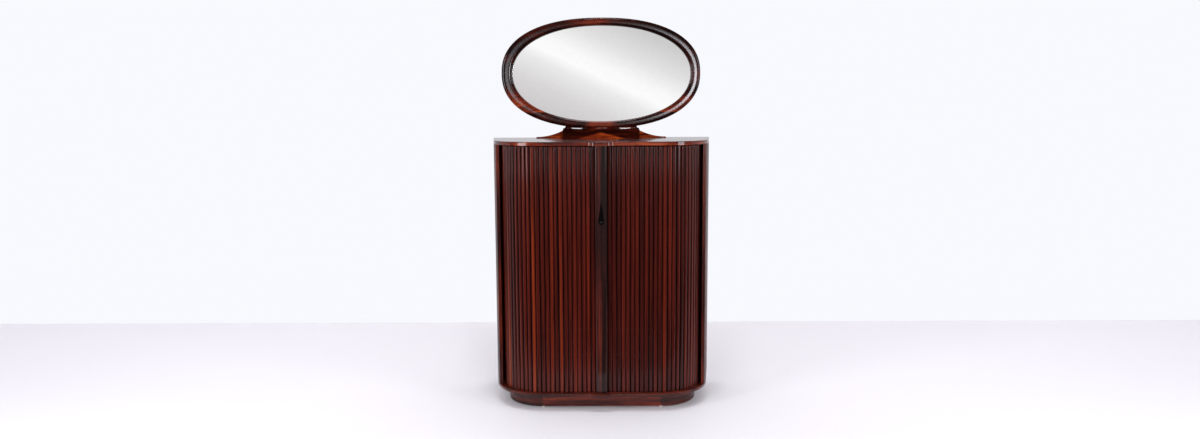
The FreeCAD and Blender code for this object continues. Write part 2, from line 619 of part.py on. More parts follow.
# Meeting stiles: proud of the slats, with half of the teardrop finger pull in each.
SEAM = of("Sizes.seam_gap / 2")
STILE_EDGE = f"({SEAM} + {of('Sizes.stile_width')})"
STILE_FRONT = f"({FRONT} + {of('Sizes.face_inset - Sizes.stile_proud')})"
STILE_FOOT = f"({FLOOR} + {of('Sizes.slat_clearance')})"
STILE_LENGTH = of("Sizes.opening_height - 2 * Sizes.slat_clearance")
STILE_R = of("Sizes.stile_round")
PULL_R = of("Sizes.pull_radius")
PULL_CENTRE = of("Sizes.pull_bottom + Sizes.pull_radius")
PULL_TAIL = of("Sizes.pull_height - Sizes.pull_radius")
PULL_SINE = f"({PULL_R} / {PULL_TAIL})"
for hand, sign in HANDS:
    stile = body_at(f"{hand}_stile_board", z=STILE_FOOT)
    plan = [
        (handed(sign, SEAM), STILE_FRONT),
        (handed(sign, f"({STILE_EDGE} - {STILE_R})"), STILE_FRONT, STILE_R, sign),
        (handed(sign, STILE_EDGE), f"({STILE_FRONT} + {STILE_R})"),
        (handed(sign, STILE_EDGE), TRACK_FRONT),
        (handed(sign, SEAM), TRACK_FRONT),
    ]
    pad(stile, outline(stile, f"{hand}_stile_plan", "XY_Plane", plan), STILE_LENGTH)
    ball = doc.addObject("Part::Sphere", f"{hand}_pull_ball")
    ball.setExpression("Radius", PULL_R)
    ball.setExpression("Placement.Base.y", STILE_FRONT)
    ball.setExpression("Placement.Base.z", PULL_CENTRE)
    tail = doc.addObject("Part::Cone", f"{hand}_pull_tail")
    tail.setExpression("Radius1", f"{PULL_R} * sqrt(1 - {PULL_SINE}^2)")
    tail.setExpression("Radius2", of("Sizes.pull_tip_radius"))
    tail.setExpression("Height", f"{PULL_TAIL} - {PULL_R} * {PULL_SINE}")
    tail.setExpression("Placement.Base.y", STILE_FRONT)
    tail.setExpression("Placement.Base.z", f"{PULL_CENTRE} + {PULL_R} * {PULL_SINE}")
    teardrop = doc.addObject("Part::Fuse", f"{hand}_teardrop")
    teardrop.Base, teardrop.Tool = ball, tail
    carved = doc.addObject("Part::Cut", f"{hand}_carved_stile")
    carved.Base, carved.Tool = stile, teardrop
    keep(carved, f"{hand}_stile")

# Tambour curtains: slats with tongues at both ends, glued to cloth in flexible sections.
# No pattern follows this path, so each section's shape is set from copies of one slat.
bend_x, bend_y = number(BEND_X), number(BEND_Y)
track_front, track_radius = number(TRACK_FRONT), number(of("Sizes.track_radius"))
stile_edge = number(STILE_EDGE)
curtain_end = bend_x + track_radius * math.radians(number(of("Sizes.curtain_wrap")))
slat_pitch = (curtain_end - stile_edge) / (SECTIONS_PER_DOOR * SLATS_PER_SECTION)
slat_width = slat_pitch - number(of("Sizes.slat_gap"))
slat_length = number(STILE_LENGTH)
slat_foot = number(STILE_FOOT)


def track_place(distance, sign):
    """Where the canvas line is, that far from the middle of the front, as a placement."""
    angle = max(distance - bend_x, 0) / track_radius
    x = min(distance, bend_x) + track_radius * math.sin(angle)
    y = track_front + track_radius * (1 - math.cos(angle))
    turn = FreeCAD.Rotation(FreeCAD.Vector(0, 0, 1), math.degrees(angle) * sign)
    return FreeCAD.Placement(FreeCAD.Vector(sign * x, y, 0), turn)


def slat_shape():
    """One slat, its back on the canvas line and its rounded face towards -Y."""
    half, depth, bend = slat_width / 2, number(of("Sizes.slat_thickness")), number(of("Sizes.slat_round"))
    slope = bend * (1 - math.sqrt(0.5))
    vector = FreeCAD.Vector
    edges = [
        Part.LineSegment(vector(half, bend - depth, 0), vector(half, 0, 0)),
        Part.LineSegment(vector(half, 0, 0), vector(-half, 0, 0)),
        Part.LineSegment(vector(-half, 0, 0), vector(-half, bend - depth, 0)),
        Part.Arc(
            vector(-half, bend - depth, 0),
            vector(slope - half, slope - depth, 0),
            vector(bend - half, -depth, 0),
        ),
        Part.LineSegment(vector(bend - half, -depth, 0), vector(half - bend, -depth, 0)),
        Part.Arc(
            vector(half - bend, -depth, 0),
            vector(half - slope, slope - depth, 0),
            vector(half, bend - depth, 0),
        ),
    ]
    profile = Part.Face(Part.Wire([edge.toShape() for edge in edges]))
    tongue_length, tongue = number(of("Sizes.tongue_length")), number(of("Sizes.tongue_thickness"))
    blade = Part.makeBox(
        slat_width, tongue, slat_length + 2 * tongue_length, vector(-half, -tongue, -tongue_length)
    )
    slat = profile.extrude(vector(0, 0, slat_length)).fuse(blade).removeSplitter()
    slat.translate(vector(0, 0, slat_foot))
    return slat.Solids[0]


slat = slat_shape()
cloth_corner = FreeCAD.Vector(-slat_width / 2, 0, slat_foot)
cloth = Part.makeBox(slat_width, number(of("Sizes.canvas_thickness")), slat_length, cloth_corner)
for hand, sign in HANDS:
    for section in range(SECTIONS_PER_DOOR):
        pieces = []
        for step in range(SLATS_PER_SECTION):
            count = section * SLATS_PER_SECTION + step + 0.5
            place = track_place(stile_edge + slat_pitch * count, sign)
            for source in (slat, cloth):
                copy = source.copy()
                copy.Placement = place.multiply(source.Placement)
                pieces.append(copy)
        curtain = doc.addObject("Part::Feature", f"{hand}_curtain_{section + 1}")
        curtain.Shape = Part.makeCompound(pieces)
        keep(curtain, f"{hand}_tambour_{section + 1}")

# Mirror: an oval of four arcs, drawn upright. Each sketch plane faces the front of the chest.
MIRROR_LIFT = of("Sizes.mirror_gap + Sizes.mirror_half_height")
MIRROR_Z = f"({TOP} + {MIRROR_LIFT})"
FRAME_BACK = f"({BACK} - {of('Sizes.frame_back_gap')})"


def oval(half_width, half_height, end_radius):
    """The corners of a four-arc oval, and the radius of its long arcs."""
    reach = f"({half_width} - {end_radius})"
    top = f"({reach}^2 + {half_height}^2 - {end_radius}^2)"
    long_radius = f"({top} / (2 * ({half_height} - {end_radius})))"
    drop = f"({long_radius} - {half_height})"
    share = f"({long_radius} / ({long_radius} - {end_radius}))"
    x = f"({reach} * {share})"
    z = f"({drop} * {share} - {drop})"
    corners = [
        (x, negative(z), end_radius, 1),
        (x, z, long_radius, 1),
        (negative(x), z, end_radius, 1),
        (negative(x), negative(z), long_radius, 1),
    ]
    return corners, long_radius


OUTER_OVAL, OUTER_LONG_RADIUS = oval(
    of("Sizes.mirror_half_width"), of("Sizes.mirror_half_height"), of("Sizes.mirror_end_radius")
)
SIGHT_X = of("Sizes.mirror_half_width - Sizes.band_width")
SIGHT_Z = of("Sizes.mirror_half_height - Sizes.band_height")
SIGHT_R = of("Sizes.mirror_end_radius - Sizes.band_end")
SIGHT_OVAL, _ = oval(SIGHT_X, SIGHT_Z, SIGHT_R)
REBATE = of("Sizes.rebate_width")
REBATE_X, REBATE_Z = f"({SIGHT_X} + {REBATE})", f"({SIGHT_Z} + {REBATE})"
REBATE_OVAL, _ = oval(REBATE_X, REBATE_Z, f"({SIGHT_R} + {REBATE})")
GLASS_MARGIN = of("Sizes.rebate_width - Sizes.rebate_play")
GLASS_OVAL, _ = oval(
    f"({SIGHT_X} + {GLASS_MARGIN})", f"({SIGHT_Z} + {GLASS_MARGIN})", f"({SIGHT_R} + {GLASS_MARGIN})"
)

frame = body_at("oval_frame", y=FRAME_BACK, z=MIRROR_Z)
frame_pad = pad(frame, outline(frame, "frame_outer", "XZ_Plane", OUTER_OVAL), of("Sizes.frame_depth"))
sight = outline(frame, "frame_sight", "XZ_Plane", SIGHT_OVAL)
opened = pocket(frame, sight, of("Sizes.frame_depth"), reverse=True)
front_face = -number(of("Sizes.frame_depth"))
outer_reach_x = number(of("Sizes.mirror_half_width - Sizes.band_width / 2"))
outer_reach_z = number(of("Sizes.mirror_half_height - Sizes.band_height / 2"))


def front_edge(edge, outside):
    """True for an edge of the frame's front, on its outside or round its opening."""
    box = edge.BoundBox
    ahead = abs(box.YMin - front_face) < 0.01 and abs(box.YMax - front_face) < 0.01
    far = max(abs(box.ZMin), abs(box.ZMax)) > outer_reach_z
    wide = max(abs(box.XMin), abs(box.XMax)) > outer_reach_x
    return ahead and (far or wide) == outside


softened = rounded(
    frame, opened, "frame_outer_edge", of("Sizes.frame_outer_round"), lambda edge: front_edge(edge, True)
)
rounded(
    frame, softened, "frame_inner_edge", of("Sizes.frame_inner_round"), lambda edge: front_edge(edge, False)
)
rebate = outline(frame, "frame_rebate", "XZ_Plane", REBATE_OVAL)
pocket(frame, rebate, of("Sizes.rebate_depth"), reverse=True)
keep(frame, "mirror_frame")

GLASS_BACK = f"({FRAME_BACK} - {of('Sizes.rebate_depth - Sizes.glass_thickness')})"
glass = body_at("oval_glass", y=GLASS_BACK, z=MIRROR_Z)
pad(glass, outline(glass, "glass_plan", "XZ_Plane", GLASS_OVAL), of("Sizes.glass_thickness"))
keep(glass, "mirror_glass")

BOARD_BACK = f"({GLASS_BACK} + {of('Sizes.back_board_thickness')})"
backing = body_at("oval_board", y=BOARD_BACK, z=MIRROR_Z)
pad(backing, outline(backing, "board_plan", "XZ_Plane", GLASS_OVAL), of("Sizes.back_board_thickness"))
keep(backing, "mirror_back_board")

CLIP_HALF = of("Sizes.clip_length / 2")
CLIP_SIDE = of("Sizes.clip_width / 2")
CLIP_PLANES = (FRAME_BACK, f"({FRAME_BACK} + {of('Sizes.clip_thickness')})")
clips = []
for hand, sign in HANDS:
    x_edge = handed(sign, REBATE_X)
    clips.append(
        board(
            f"{hand}_clip",
            (f"({x_edge} - {CLIP_HALF})", f"({x_edge} + {CLIP_HALF})"),
            CLIP_PLANES,
            (f"({MIRROR_Z} - {CLIP_SIDE})", f"({MIRROR_Z} + {CLIP_SIDE})"),
        )
    )
for level, sign in (("lower", -1), ("upper", 1)):
    z_edge = f"({MIRROR_Z} + {handed(sign, REBATE_Z)})"
    clips.append(
        board(
            f"{level}_clip",
            (negative(CLIP_SIDE), CLIP_SIDE),
            CLIP_PLANES,
            (f"({z_edge} - {CLIP_HALF})", f"({z_edge} + {CLIP_HALF})"),
        )
    )
keep(group("clips", clips), "mirror_clips")

# Mirror base: a block cut to the oval above it and hollowed in front, with low wings behind.
BASE_BACK = f"({BACK} - {of('Sizes.base_back_gap')})"
WING_X, WING_Z = of("Sizes.wing_half_width"), of("Sizes.wing_height")
TIP_Z = of("Sizes.wing_tip_height")
BLOCK_X, BLOCK_Z = of("Sizes.block_half_width"), of("Sizes.block_height")
NECK_X = of("Sizes.neck_half_width")
OVAL_DROP = f"({OUTER_LONG_RADIUS} - {of('Sizes.mirror_half_height')})"
OVAL_CENTRE = f"({MIRROR_LIFT} + {OVAL_DROP})"
NECK_Z = f"({OVAL_CENTRE} - sqrt({OUTER_LONG_RADIUS}^2 - {NECK_X}^2))"
WING_RUN, WING_RISE = f"({WING_X} - {BLOCK_X})", f"({WING_Z} - {TIP_Z})"
WING_R = f"(({WING_RUN}^2 + {WING_RISE}^2) / (2 * {WING_RISE}))"
NOTCH_DEPTH = of("Sizes.notch_depth")
NOTCH_REACH = f"(({BLOCK_X} - {NECK_X})^2 + ({NECK_Z} - {BLOCK_Z})^2)"
NOTCH_R = f"({NOTCH_REACH} / (8 * {NOTCH_DEPTH}) + {NOTCH_DEPTH} / 2)"
base = body_at("carved_base", y=BASE_BACK, z=TOP)
wings = [
    (negative(WING_X), "0"),
    (WING_X, "0"),
    (WING_X, TIP_Z, WING_R, -1),
    (BLOCK_X, WING_Z),
    (negative(BLOCK_X), WING_Z, WING_R, -1),
    (negative(WING_X), TIP_Z),
]
pad(base, outline(base, "base_wings", "XZ_Plane", wings), of("Sizes.wing_depth"))
block = [
    (negative(BLOCK_X), "0"),
    (BLOCK_X, "0"),
    (BLOCK_X, BLOCK_Z, NOTCH_R, -1),
    (NECK_X, NECK_Z, OUTER_LONG_RADIUS, -1),
    (negative(NECK_X), NECK_Z, NOTCH_R, -1),
    (negative(BLOCK_X), BLOCK_Z),
]
pad(base, outline(base, "base_block", "XZ_Plane", block), of("Sizes.block_depth"))
BLOCK_FRONT = of("-1 * Sizes.block_depth")
UPRIGHT_Y = f"({FRAME_BACK} - {of('Sizes.frame_depth')} - {BASE_BACK})"
FACE_Z, HOLLOW_Z = of("Sizes.face_height"), of("Sizes.hollow_height")
HOLLOW_RUN, HOLLOW_RISE = f"({UPRIGHT_Y} - {BLOCK_FRONT})", f"({HOLLOW_Z} - {FACE_Z})"
HOLLOW_R = f"(({HOLLOW_RUN}^2 + {HOLLOW_RISE}^2) / (2 * {HOLLOW_RISE}))"
CLEAR_Y = f"({BLOCK_FRONT} - {FACE_Z})"
CLEAR_Z = f"({NECK_Z} + {FACE_Z})"
waste = [
    (CLEAR_Y, FACE_Z),
    (BLOCK_FRONT, FACE_Z, HOLLOW_R, 1),
    (UPRIGHT_Y, HOLLOW_Z),
    (UPRIGHT_Y, CLEAR_Z),
    (CLEAR_Y, CLEAR_Z),
]
hollow = outline(base, "base_hollow", "YZ_Plane", waste)
pocket(base, hollow, f"3 * {WING_X}", middle=True)
keep(base, "mirror_base")

FRAME_MIDDLE = f"({FRAME_BACK} - {of('Sizes.frame_depth / 2')})"
DOWEL_PLACE = of("Sizes.mirror_dowel_x")
DOWEL_MEET = f"({TOP} + {OVAL_CENTRE} - sqrt({OUTER_LONG_RADIUS}^2 - {DOWEL_PLACE}^2))"
dowel_ends = tuple(f"({DOWEL_MEET} {side} {of('Sizes.mirror_dowel_depth')})" for side in "-+")
SCREW_FOOT = f"({CEILING} - {of('Sizes.screw_head_height')})"
mirror_dowels, screws = [], []
for hand, sign in HANDS:
    x = handed(sign, DOWEL_PLACE)
    radius = of("Sizes.mirror_dowel_radius")
    mirror_dowels.append(rod(f"{hand}_mirror_dowel", radius, x, FRAME_MIDDLE, *dowel_ends))
    for row, side in (("front", "-"), ("rear", "+")):
        place = (handed(sign, of("Sizes.screw_x")), f"({FRAME_MIDDLE} {side} {of('Sizes.screw_offset')})")
        tip = f"({TOP} + {of('Sizes.screw_grip')})"
        head = rod(f"{hand}_{row}_head", of("Sizes.screw_head_radius"), *place, SCREW_FOOT, CEILING)
        shank = rod(f"{hand}_{row}_shank", of("Sizes.screw_radius"), *place, CEILING, tip)
        screw = doc.addObject("Part::Fuse", f"{hand}_{row}_screw")
        screw.Base, screw.Tool = head, shank
        screws.append(screw)
keep(group("mirror_pegs", mirror_dowels), "mirror_dowels")
keep(group("screws", screws), "mirror_base_screws")

doc.recompute()
failed = [o.Label for o in doc.Objects if {"Invalid", "Error"} & set(o.State)]
failed += [o.Label for o in nodes if o.Shape.isNull() or not o.Shape.isValid() or not o.Shape.Solids]
if failed:
    raise RuntimeError(f"these did not build: {failed}")
for piece in nodes:
    piece.Shape.exportStep(f"parts/{piece.Label}.step")
print(len(nodes), "sub-parts written")
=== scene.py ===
import bpy
import bmesh
import math
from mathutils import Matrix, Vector


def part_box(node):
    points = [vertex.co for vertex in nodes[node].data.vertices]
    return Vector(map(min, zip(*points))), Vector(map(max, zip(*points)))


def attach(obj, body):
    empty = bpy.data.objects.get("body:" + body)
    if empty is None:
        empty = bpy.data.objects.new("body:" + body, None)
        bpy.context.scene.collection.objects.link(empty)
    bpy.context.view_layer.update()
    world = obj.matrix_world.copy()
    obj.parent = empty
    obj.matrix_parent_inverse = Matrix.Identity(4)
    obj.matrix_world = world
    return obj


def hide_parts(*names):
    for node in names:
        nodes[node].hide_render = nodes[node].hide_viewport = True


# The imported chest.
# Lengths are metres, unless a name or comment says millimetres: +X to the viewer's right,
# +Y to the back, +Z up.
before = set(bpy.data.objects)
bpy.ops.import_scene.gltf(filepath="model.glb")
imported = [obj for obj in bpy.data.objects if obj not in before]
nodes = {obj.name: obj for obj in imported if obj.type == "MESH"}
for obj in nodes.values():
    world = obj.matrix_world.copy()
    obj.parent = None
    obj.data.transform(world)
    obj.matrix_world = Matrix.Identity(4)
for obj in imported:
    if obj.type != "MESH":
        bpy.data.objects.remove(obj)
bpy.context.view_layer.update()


# Plinth: four rosewood rails, set back under the case, the side ones bent round the corners.
# They carry the chest on small pale nylon glides, and are lacquered like the case.
def linear(code):
    """A hex sRGB colour as linear RGBA."""
    parts = [int(code[i : i + 2], 16) / 255 for i in (1, 3, 5)]
    return [c / 12.92 if c <= 0.04045 else ((c + 0.055) / 1.055) ** 2.4 for c in parts] + [1.0]


def add(tree, kind, inputs=None, steps=(), **settings):
    """Adds a node with its settings, sets or links its inputs, and fills a ramp's steps."""
    node = tree.nodes.new(kind)
    for key, value in settings.items():
        setattr(node, key, value)
    for key, value in (inputs or {}).items():
        if isinstance(value, bpy.types.NodeSocket):
            tree.links.new(value, node.inputs[key])
        else:
            node.inputs[key].default_value = value
    for i, (place, code) in enumerate(steps):
        points = node.color_ramp.elements
        point = points[i] if i < len(points) else points.new(place)
        point.position = place
        point.color = linear(code)
    return node


def new_material(name):
    """A material with a shader and an output, its node tree and its shader."""
    material = bpy.data.materials.new(name)
    material.use_nodes = True
    tree = material.node_tree
    tree.nodes.clear()
    shader = add(tree, "ShaderNodeBsdfPrincipled")
    add(tree, "ShaderNodeOutputMaterial", {"Surface": shader.outputs[0]})
    return material, tree, shader


# Rosewood's colours, from its nearly black streaks to its orange ones.
ROSEWOOD = [
    (0.10, "#140505"),
    (0.32, "#2a0c09"),
    (0.50, "#4a160e"),
    (0.68, "#712712"),
    (0.90, "#b04c18"),
]
# Real pores are under 0.3 mm wide. They are drawn a sixth as wide as the streaks, so as to show.
PORES_TO_STREAK = 6.0
PORE_DEPTH = 0.0003
# A slat's mark, from 0 to 1, moves it by up to this many metres through the figure.
FIGURE_JUMP = 40.0


def lacquered_rosewood(
    name, grain, gloss=0.6, blur=0.08, bare=0.1, lift=None, jump=None, colours=ROSEWOOD
):
    """Rosewood under polished lacquer: long dark streaks, fine filled pores and a clear gloss.

    grain holds a streak's size along x, y and z in millimetres: long the way the board was
    sawn, short across it. gloss is the weight of the lacquer and blur its roughness, and bare
    is the shine of the wood below it. lift returns a value that makes the wood lighter or
    darker from place to place. jump names an attribute that moves each slat to another place
    in the figure.
    """
    material, tree, shader = new_material(name)
    place = add(tree, "ShaderNodeTexCoord").outputs["Object"]
    spot = place
    if jump:
        mark = add(tree, "ShaderNodeAttribute", attribute_name=jump).outputs["Fac"]
        far = add(
            tree, "ShaderNodeMath", {0: mark, 1: FIGURE_JUMP}, operation="MULTIPLY"
        ).outputs[0]
        step = add(tree, "ShaderNodeCombineXYZ", {"X": far, "Y": far, "Z": far}).outputs[0]
        spot = add(tree, "ShaderNodeVectorMath", {0: place, 1: step}, operation="ADD").outputs[0]
    sawn = add(
        tree, "ShaderNodeMapping", {"Vector": spot, "Scale": [1000 / size for size in grain]}
    ).outputs[0]
    figure = add(
        tree,
        "ShaderNodeTexNoise",
        {"Vector": sawn, "Scale": 1.0, "Detail": 2.5, "Roughness": 0.5, "Distortion": 0.25},
    ).outputs["Fac"]
    if lift:
        figure = add(
            tree, "ShaderNodeMath", {0: figure, 1: lift(tree, place)}, operation="ADD"
        ).outputs[0]
    wood = add(tree, "ShaderNodeValToRGB", {"Fac": figure}, steps=colours).outputs["Color"]
    pores = add(
        tree,
        "ShaderNodeTexNoise",
        {"Vector": sawn, "Scale": PORES_TO_STREAK, "Detail": 2.0, "Roughness": 0.6},
    ).outputs["Fac"]
    pore_shade = add(
        tree, "ShaderNodeValToRGB", {"Fac": pores}, steps=[(0.34, "#a89a96"), (0.54, "#ffffff")]
    ).outputs["Color"]
    wood = add(
        tree,
        "ShaderNodeMix",
        {"Factor": 1.0, "A": wood, "B": pore_shade},
        data_type="RGBA",
        blend_type="MULTIPLY",
    ).outputs["Result"]
    tree.links.new(wood, shader.inputs["Base Color"])
    dull = add(
        tree,
        "ShaderNodeMapRange",
        {"Value": pores, "From Min": 0.3, "From Max": 0.7, "To Min": 0.46, "To Max": 0.32},
    ).outputs[0]
    tree.links.new(dull, shader.inputs["Roughness"])
    bump = add(
        tree, "ShaderNodeBump", {"Height": pores, "Strength": 0.15, "Distance": PORE_DEPTH}
    ).outputs[0]
    tree.links.new(bump, shader.inputs["Normal"])
    shader.inputs["Specular IOR Level"].default_value = bare
    shader.inputs["Coat Weight"].default_value = gloss
    shader.inputs["Coat Roughness"].default_value = blur
    return material


def dress(material, *names):
    """Gives carried-over CAD nodes a finish."""
    for name in names:
        mesh = nodes[name].data
        mesh.materials.clear()
        mesh.materials.append(material)


# Rosewood rails with level streaks 20 mm high, red brown; the rails round the corners are drawn
# darker, as painted shade.
RAIL_GRAIN = (350, 350, 20)
plinth_wood = lacquered_rosewood(
    "rosewood_plinth",
    RAIL_GRAIN,
    gloss=0.4,
    colours=[(0.2, "#1e0806"), (0.4, "#481710"), (0.55, "#722818"), (0.75, "#98421e")],
)
dress(plinth_wood, "plinth_front", "plinth_back")
# Painted shade: a darker copy of the rail wood for the rails round the corners.
shaded_plinth_end_wood = lacquered_rosewood(
    "rosewood_plinth_ends_painted_shade",
    RAIL_GRAIN,
    gloss=0.4,
    colours=[(0.2, "#140605"), (0.4, "#2c0e0b"), (0.55, "#481a12"), (0.75, "#682a18")],
)
dress(shaded_plinth_end_wood, "plinth_left", "plinth_right")


def fine_grained(name, grain, colours, dull, metallic=0.0):
    """A finish with a fine even grain, in colour, gloss and height.

    grain is its width in millimetres. dull holds the roughness of the darker and of the
    lighter specks.
    """
    material, tree, shader = new_material(name)
    place = add(tree, "ShaderNodeTexCoord").outputs["Object"]
    speck = add(
        tree, "ShaderNodeTexNoise", {"Vector": place, "Scale": 1000 / grain, "Detail": 2.0}
    ).outputs["Fac"]
    tone = add(tree, "ShaderNodeValToRGB", {"Fac": speck}, steps=colours).outputs["Color"]
    tree.links.new(tone, shader.inputs["Base Color"])
    rough = add(
        tree,
        "ShaderNodeMapRange",
        {"Value": speck, "From Min": 0.3, "From Max": 0.7, "To Min": dull[0], "To Max": dull[1]},
    ).outputs[0]
    tree.links.new(rough, shader.inputs["Roughness"])
    bump = add(
        tree, "ShaderNodeBump", {"Height": speck, "Strength": 0.1, "Distance": grain / 10000}
    ).outputs[0]
    tree.links.new(bump, shader.inputs["Normal"])
    shader.inputs["Metallic"].default_value = metallic
    return material


# Moulded nylon: dull, pale and faintly grained. The grain is drawn 1.1 mm wide, so as to show.
glide_nylon = fine_grained(
    "nylon_glide", 1.1, [(0.3, "#b9b4aa"), (0.7, "#cdc8be")], (0.66, 0.54)
)
dress(glide_nylon, "floor_glides")


# Case: rosewood top and bottom with softened rims, joined to the sides by hidden dowels.
# The grain runs from left to right on the top and bottom and upright on the sides.
TOP_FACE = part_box("top_panel")[1][2]
RIM_FADE = (TOP_FACE - 0.002, TOP_FACE - 0.0005)


def pale_rim(tree, place):
    """Lighter colour below the edge of the upper face, and a little darker colour on the upper
    face.
    """
    height = add(tree, "ShaderNodeSeparateXYZ", {"Vector": place}).outputs["Z"]
    low, high = RIM_FADE
    return add(
        tree,
        "ShaderNodeMapRange",
        {"Value": height, "From Min": low, "From Max": high, "To Min": 0.12, "To Max": -0.05},
    ).outputs[0]


def mesh_object(name, bm, sharp_angle=40):
    """A mesh object at the origin, smooth except at its sharp edges."""
    bmesh.ops.recalc_face_normals(bm, faces=bm.faces)
    mesh = bpy.data.meshes.new(name)
    bm.to_mesh(mesh)
    bm.free()
    for polygon in mesh.polygons:
        polygon.use_smooth = True
    mesh.set_sharp_from_angle(angle=math.radians(sharp_angle))
    obj = bpy.data.objects.new(name, mesh)
    bpy.context.scene.collection.objects.link(obj)
    return obj


def polished_board(name, node, material):
    """A welded copy of a board of the case, so that the light runs smoothly along its rim.

    Edges between a level face and the rim stay sharp, so that the level face stays flat.
    """
    board = bmesh.new()
    board.from_mesh(nodes[node].data)
    bmesh.ops.remove_doubles(board, verts=board.verts, dist=1e-6)
    piece = mesh_object(name, board, 12)
    level = {}
    for polygon in piece.data.polygons:
        for key in polygon.edge_keys:
            level.setdefault(key, set()).add(abs(polygon.normal.z) > 0.9999)
    for edge in piece.data.edges:
        edge.use_edge_sharp |= len(level[edge.key]) > 1
    piece.data.materials.clear()
    piece.data.materials.append(material)
    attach(piece, "case")
    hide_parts(node)


# Rosewood boards with streaks 30 to 60 mm wide. The top mirrors the room, the bottom is darker
# and less polished, and the sides have a soft sheen.
BOARD_GRAIN = (400, 60, 30)
top_wood = lacquered_rosewood("rosewood_top", BOARD_GRAIN, lift=pale_rim)
polished_board("polished_top", "top_panel", top_wood)
bottom_wood = lacquered_rosewood(
    "rosewood_bottom",
    BOARD_GRAIN,
    gloss=0.4,
    colours=[(0.2, "#160605"), (0.4, "#30100c"), (0.6, "#5a2014"), (0.8, "#7c3418")],
)
polished_board("polished_bottom", "bottom_panel", bottom_wood)
side_wood = lacquered_rosewood("rosewood_sides", (30, 30, 400), gloss=0.12, blur=0.25)
polished_board("polished_left_side", "left_side", side_wood)
polished_board("polished_right_side", "right_side", side_wood)


def satin_wood(name, grain, colours, roughness):
    """Plain sawn wood under a thin satin finish, with soft straight figure.

    grain holds the size of its streaks along x, y and z in millimetres.
    """
    material, tree, shader = new_material(name)
    place = add(tree, "ShaderNodeTexCoord").outputs["Object"]
    sawn = add(
        tree, "ShaderNodeMapping", {"Vector": place, "Scale": [1000 / size for size in grain]}
    ).outputs[0]
    noise = add(
        tree,
        "ShaderNodeTexNoise",
        {"Vector": sawn, "Scale": 1.0, "Detail": 6.0, "Roughness": 0.65},
    ).outputs["Fac"]
    wood = add(tree, "ShaderNodeValToRGB", {"Fac": noise}, steps=colours).outputs["Color"]
    tree.links.new(wood, shader.inputs["Base Color"])
    bump = add(
        tree, "ShaderNodeBump", {"Height": noise, "Strength": 0.1, "Distance": 0.0005}
    ).outputs[0]
    tree.links.new(bump, shader.inputs["Normal"])
    dull = add(
        tree,
        "ShaderNodeMapRange",
        {
            "Value": noise,
            "From Min": 0.3,
            "From Max": 0.7,
            "To Min": roughness + 0.08,
            "To Max": roughness - 0.08,
        },
    ).outputs[0]
    tree.links.new(dull, shader.inputs["Roughness"])
    return material


# Satin mahogany: even brown boards with straight streaks 12 mm wide.
# Beech: pale yellow brown with fine streaks 6 mm wide, dull like wood that was only sanded.
MAHOGANY = [(0.3, "#4a2414"), (0.5, "#6b3a22"), (0.7, "#82502f")]
BEECH = [(0.3, "#a37b52"), (0.5, "#bd9566"), (0.7, "#cba777")]
mahogany_upright = satin_wood("mahogany_upright", (12, 12, 400), MAHOGANY, 0.45)
dress(mahogany_upright, "back_panel")
beech = satin_wood("beech_pegs", (6, 200, 6), BEECH, 0.55)
dress(beech, "case_dowels")


# Inner boards: mahogany walls that hide the curtains, a divider, an inner back and shelves.
# They are glued between top and bottom; the adjustable shelves lie on turned brass pins.
mahogany_level = satin_wood("mahogany_level", (400, 12, 12), MAHOGANY, 0.45)
dress(mahogany_upright, "left_pocket_wall", "right_pocket_wall", "centre_divider", "inner_back")
dress(mahogany_level, "left_fixed_shelf", "right_fixed_shelf", "left_shelf", "right_shelf")

# Turned brass: yellow metal with duller tarnished spots, drawn 2.5 mm wide, so as to show.
brass = fine_grained(
    "turned_brass", 2.5, [(0.3, "#a98445"), (0.7, "#c9a45c")], (0.38, 0.24), 1.0
)
dress(brass, "shelf_pins")


# Drawers: rosewood fronts with a finger notch on beech boxes, sliding on beech runners.
# They are set back, so that they open and close behind the shut curtains.
# Their fronts have level streaks 20 mm high and the full gloss of the top.
drawer_wood = lacquered_rosewood("rosewood_drawers", (350, 30, 20))
for hand in ("left", "right"):
    for row in (1, 2, 3):
        dress(drawer_wood, f"{hand}_drawer_{row}_front")
        dress(beech, f"{hand}_drawer_{row}_box")
    dress(beech, f"{hand}_drawer_runners")


# Meeting stiles: solid rosewood bars, proud of the slats, that carry the finger pull.
# The hollow of the pull is drawn nearly black, as painted shade.
STILE_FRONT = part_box("left_stile")[0][1]
PULL_RADIUS = 0.013
HOLLOW_FADE = (STILE_FRONT + 0.0004, STILE_FRONT + 0.0025)


def painted_pull_shade(tree, place):
    """Painted shade: nearly black colour in the hollow of the finger pull."""
    parts = add(tree, "ShaderNodeSeparateXYZ", {"Vector": place}).outputs
    aside = add(tree, "ShaderNodeMath", {0: parts["X"]}, operation="ABSOLUTE").outputs[0]
    near = add(
        tree, "ShaderNodeMath", {0: aside, 1: PULL_RADIUS}, operation="LESS_THAN"
    ).outputs[0]
    edge, deep = HOLLOW_FADE
    sunk = add(
        tree,
        "ShaderNodeMapRange",
        {"Value": parts["Y"], "From Min": edge, "From Max": deep, "To Max": -0.5},
    ).outputs[0]
    return add(tree, "ShaderNodeMath", {0: near, 1: sunk}, operation="MULTIPLY").outputs[0]


# Rosewood, upright streaks 9 mm wide: red brown on the left bar, painted shade nearly black on
# the right.
STILE_GRAIN = (9, 9, 450)
left_stile_wood = lacquered_rosewood(
    "rosewood_left_stile",
    STILE_GRAIN,
    gloss=0.5,
    lift=painted_pull_shade,
    colours=[(0.1, "#080303"), (0.38, "#220a08"), (0.52, "#3e1612"), (0.68, "#62281c")],
)
dress(left_stile_wood, "left_stile")
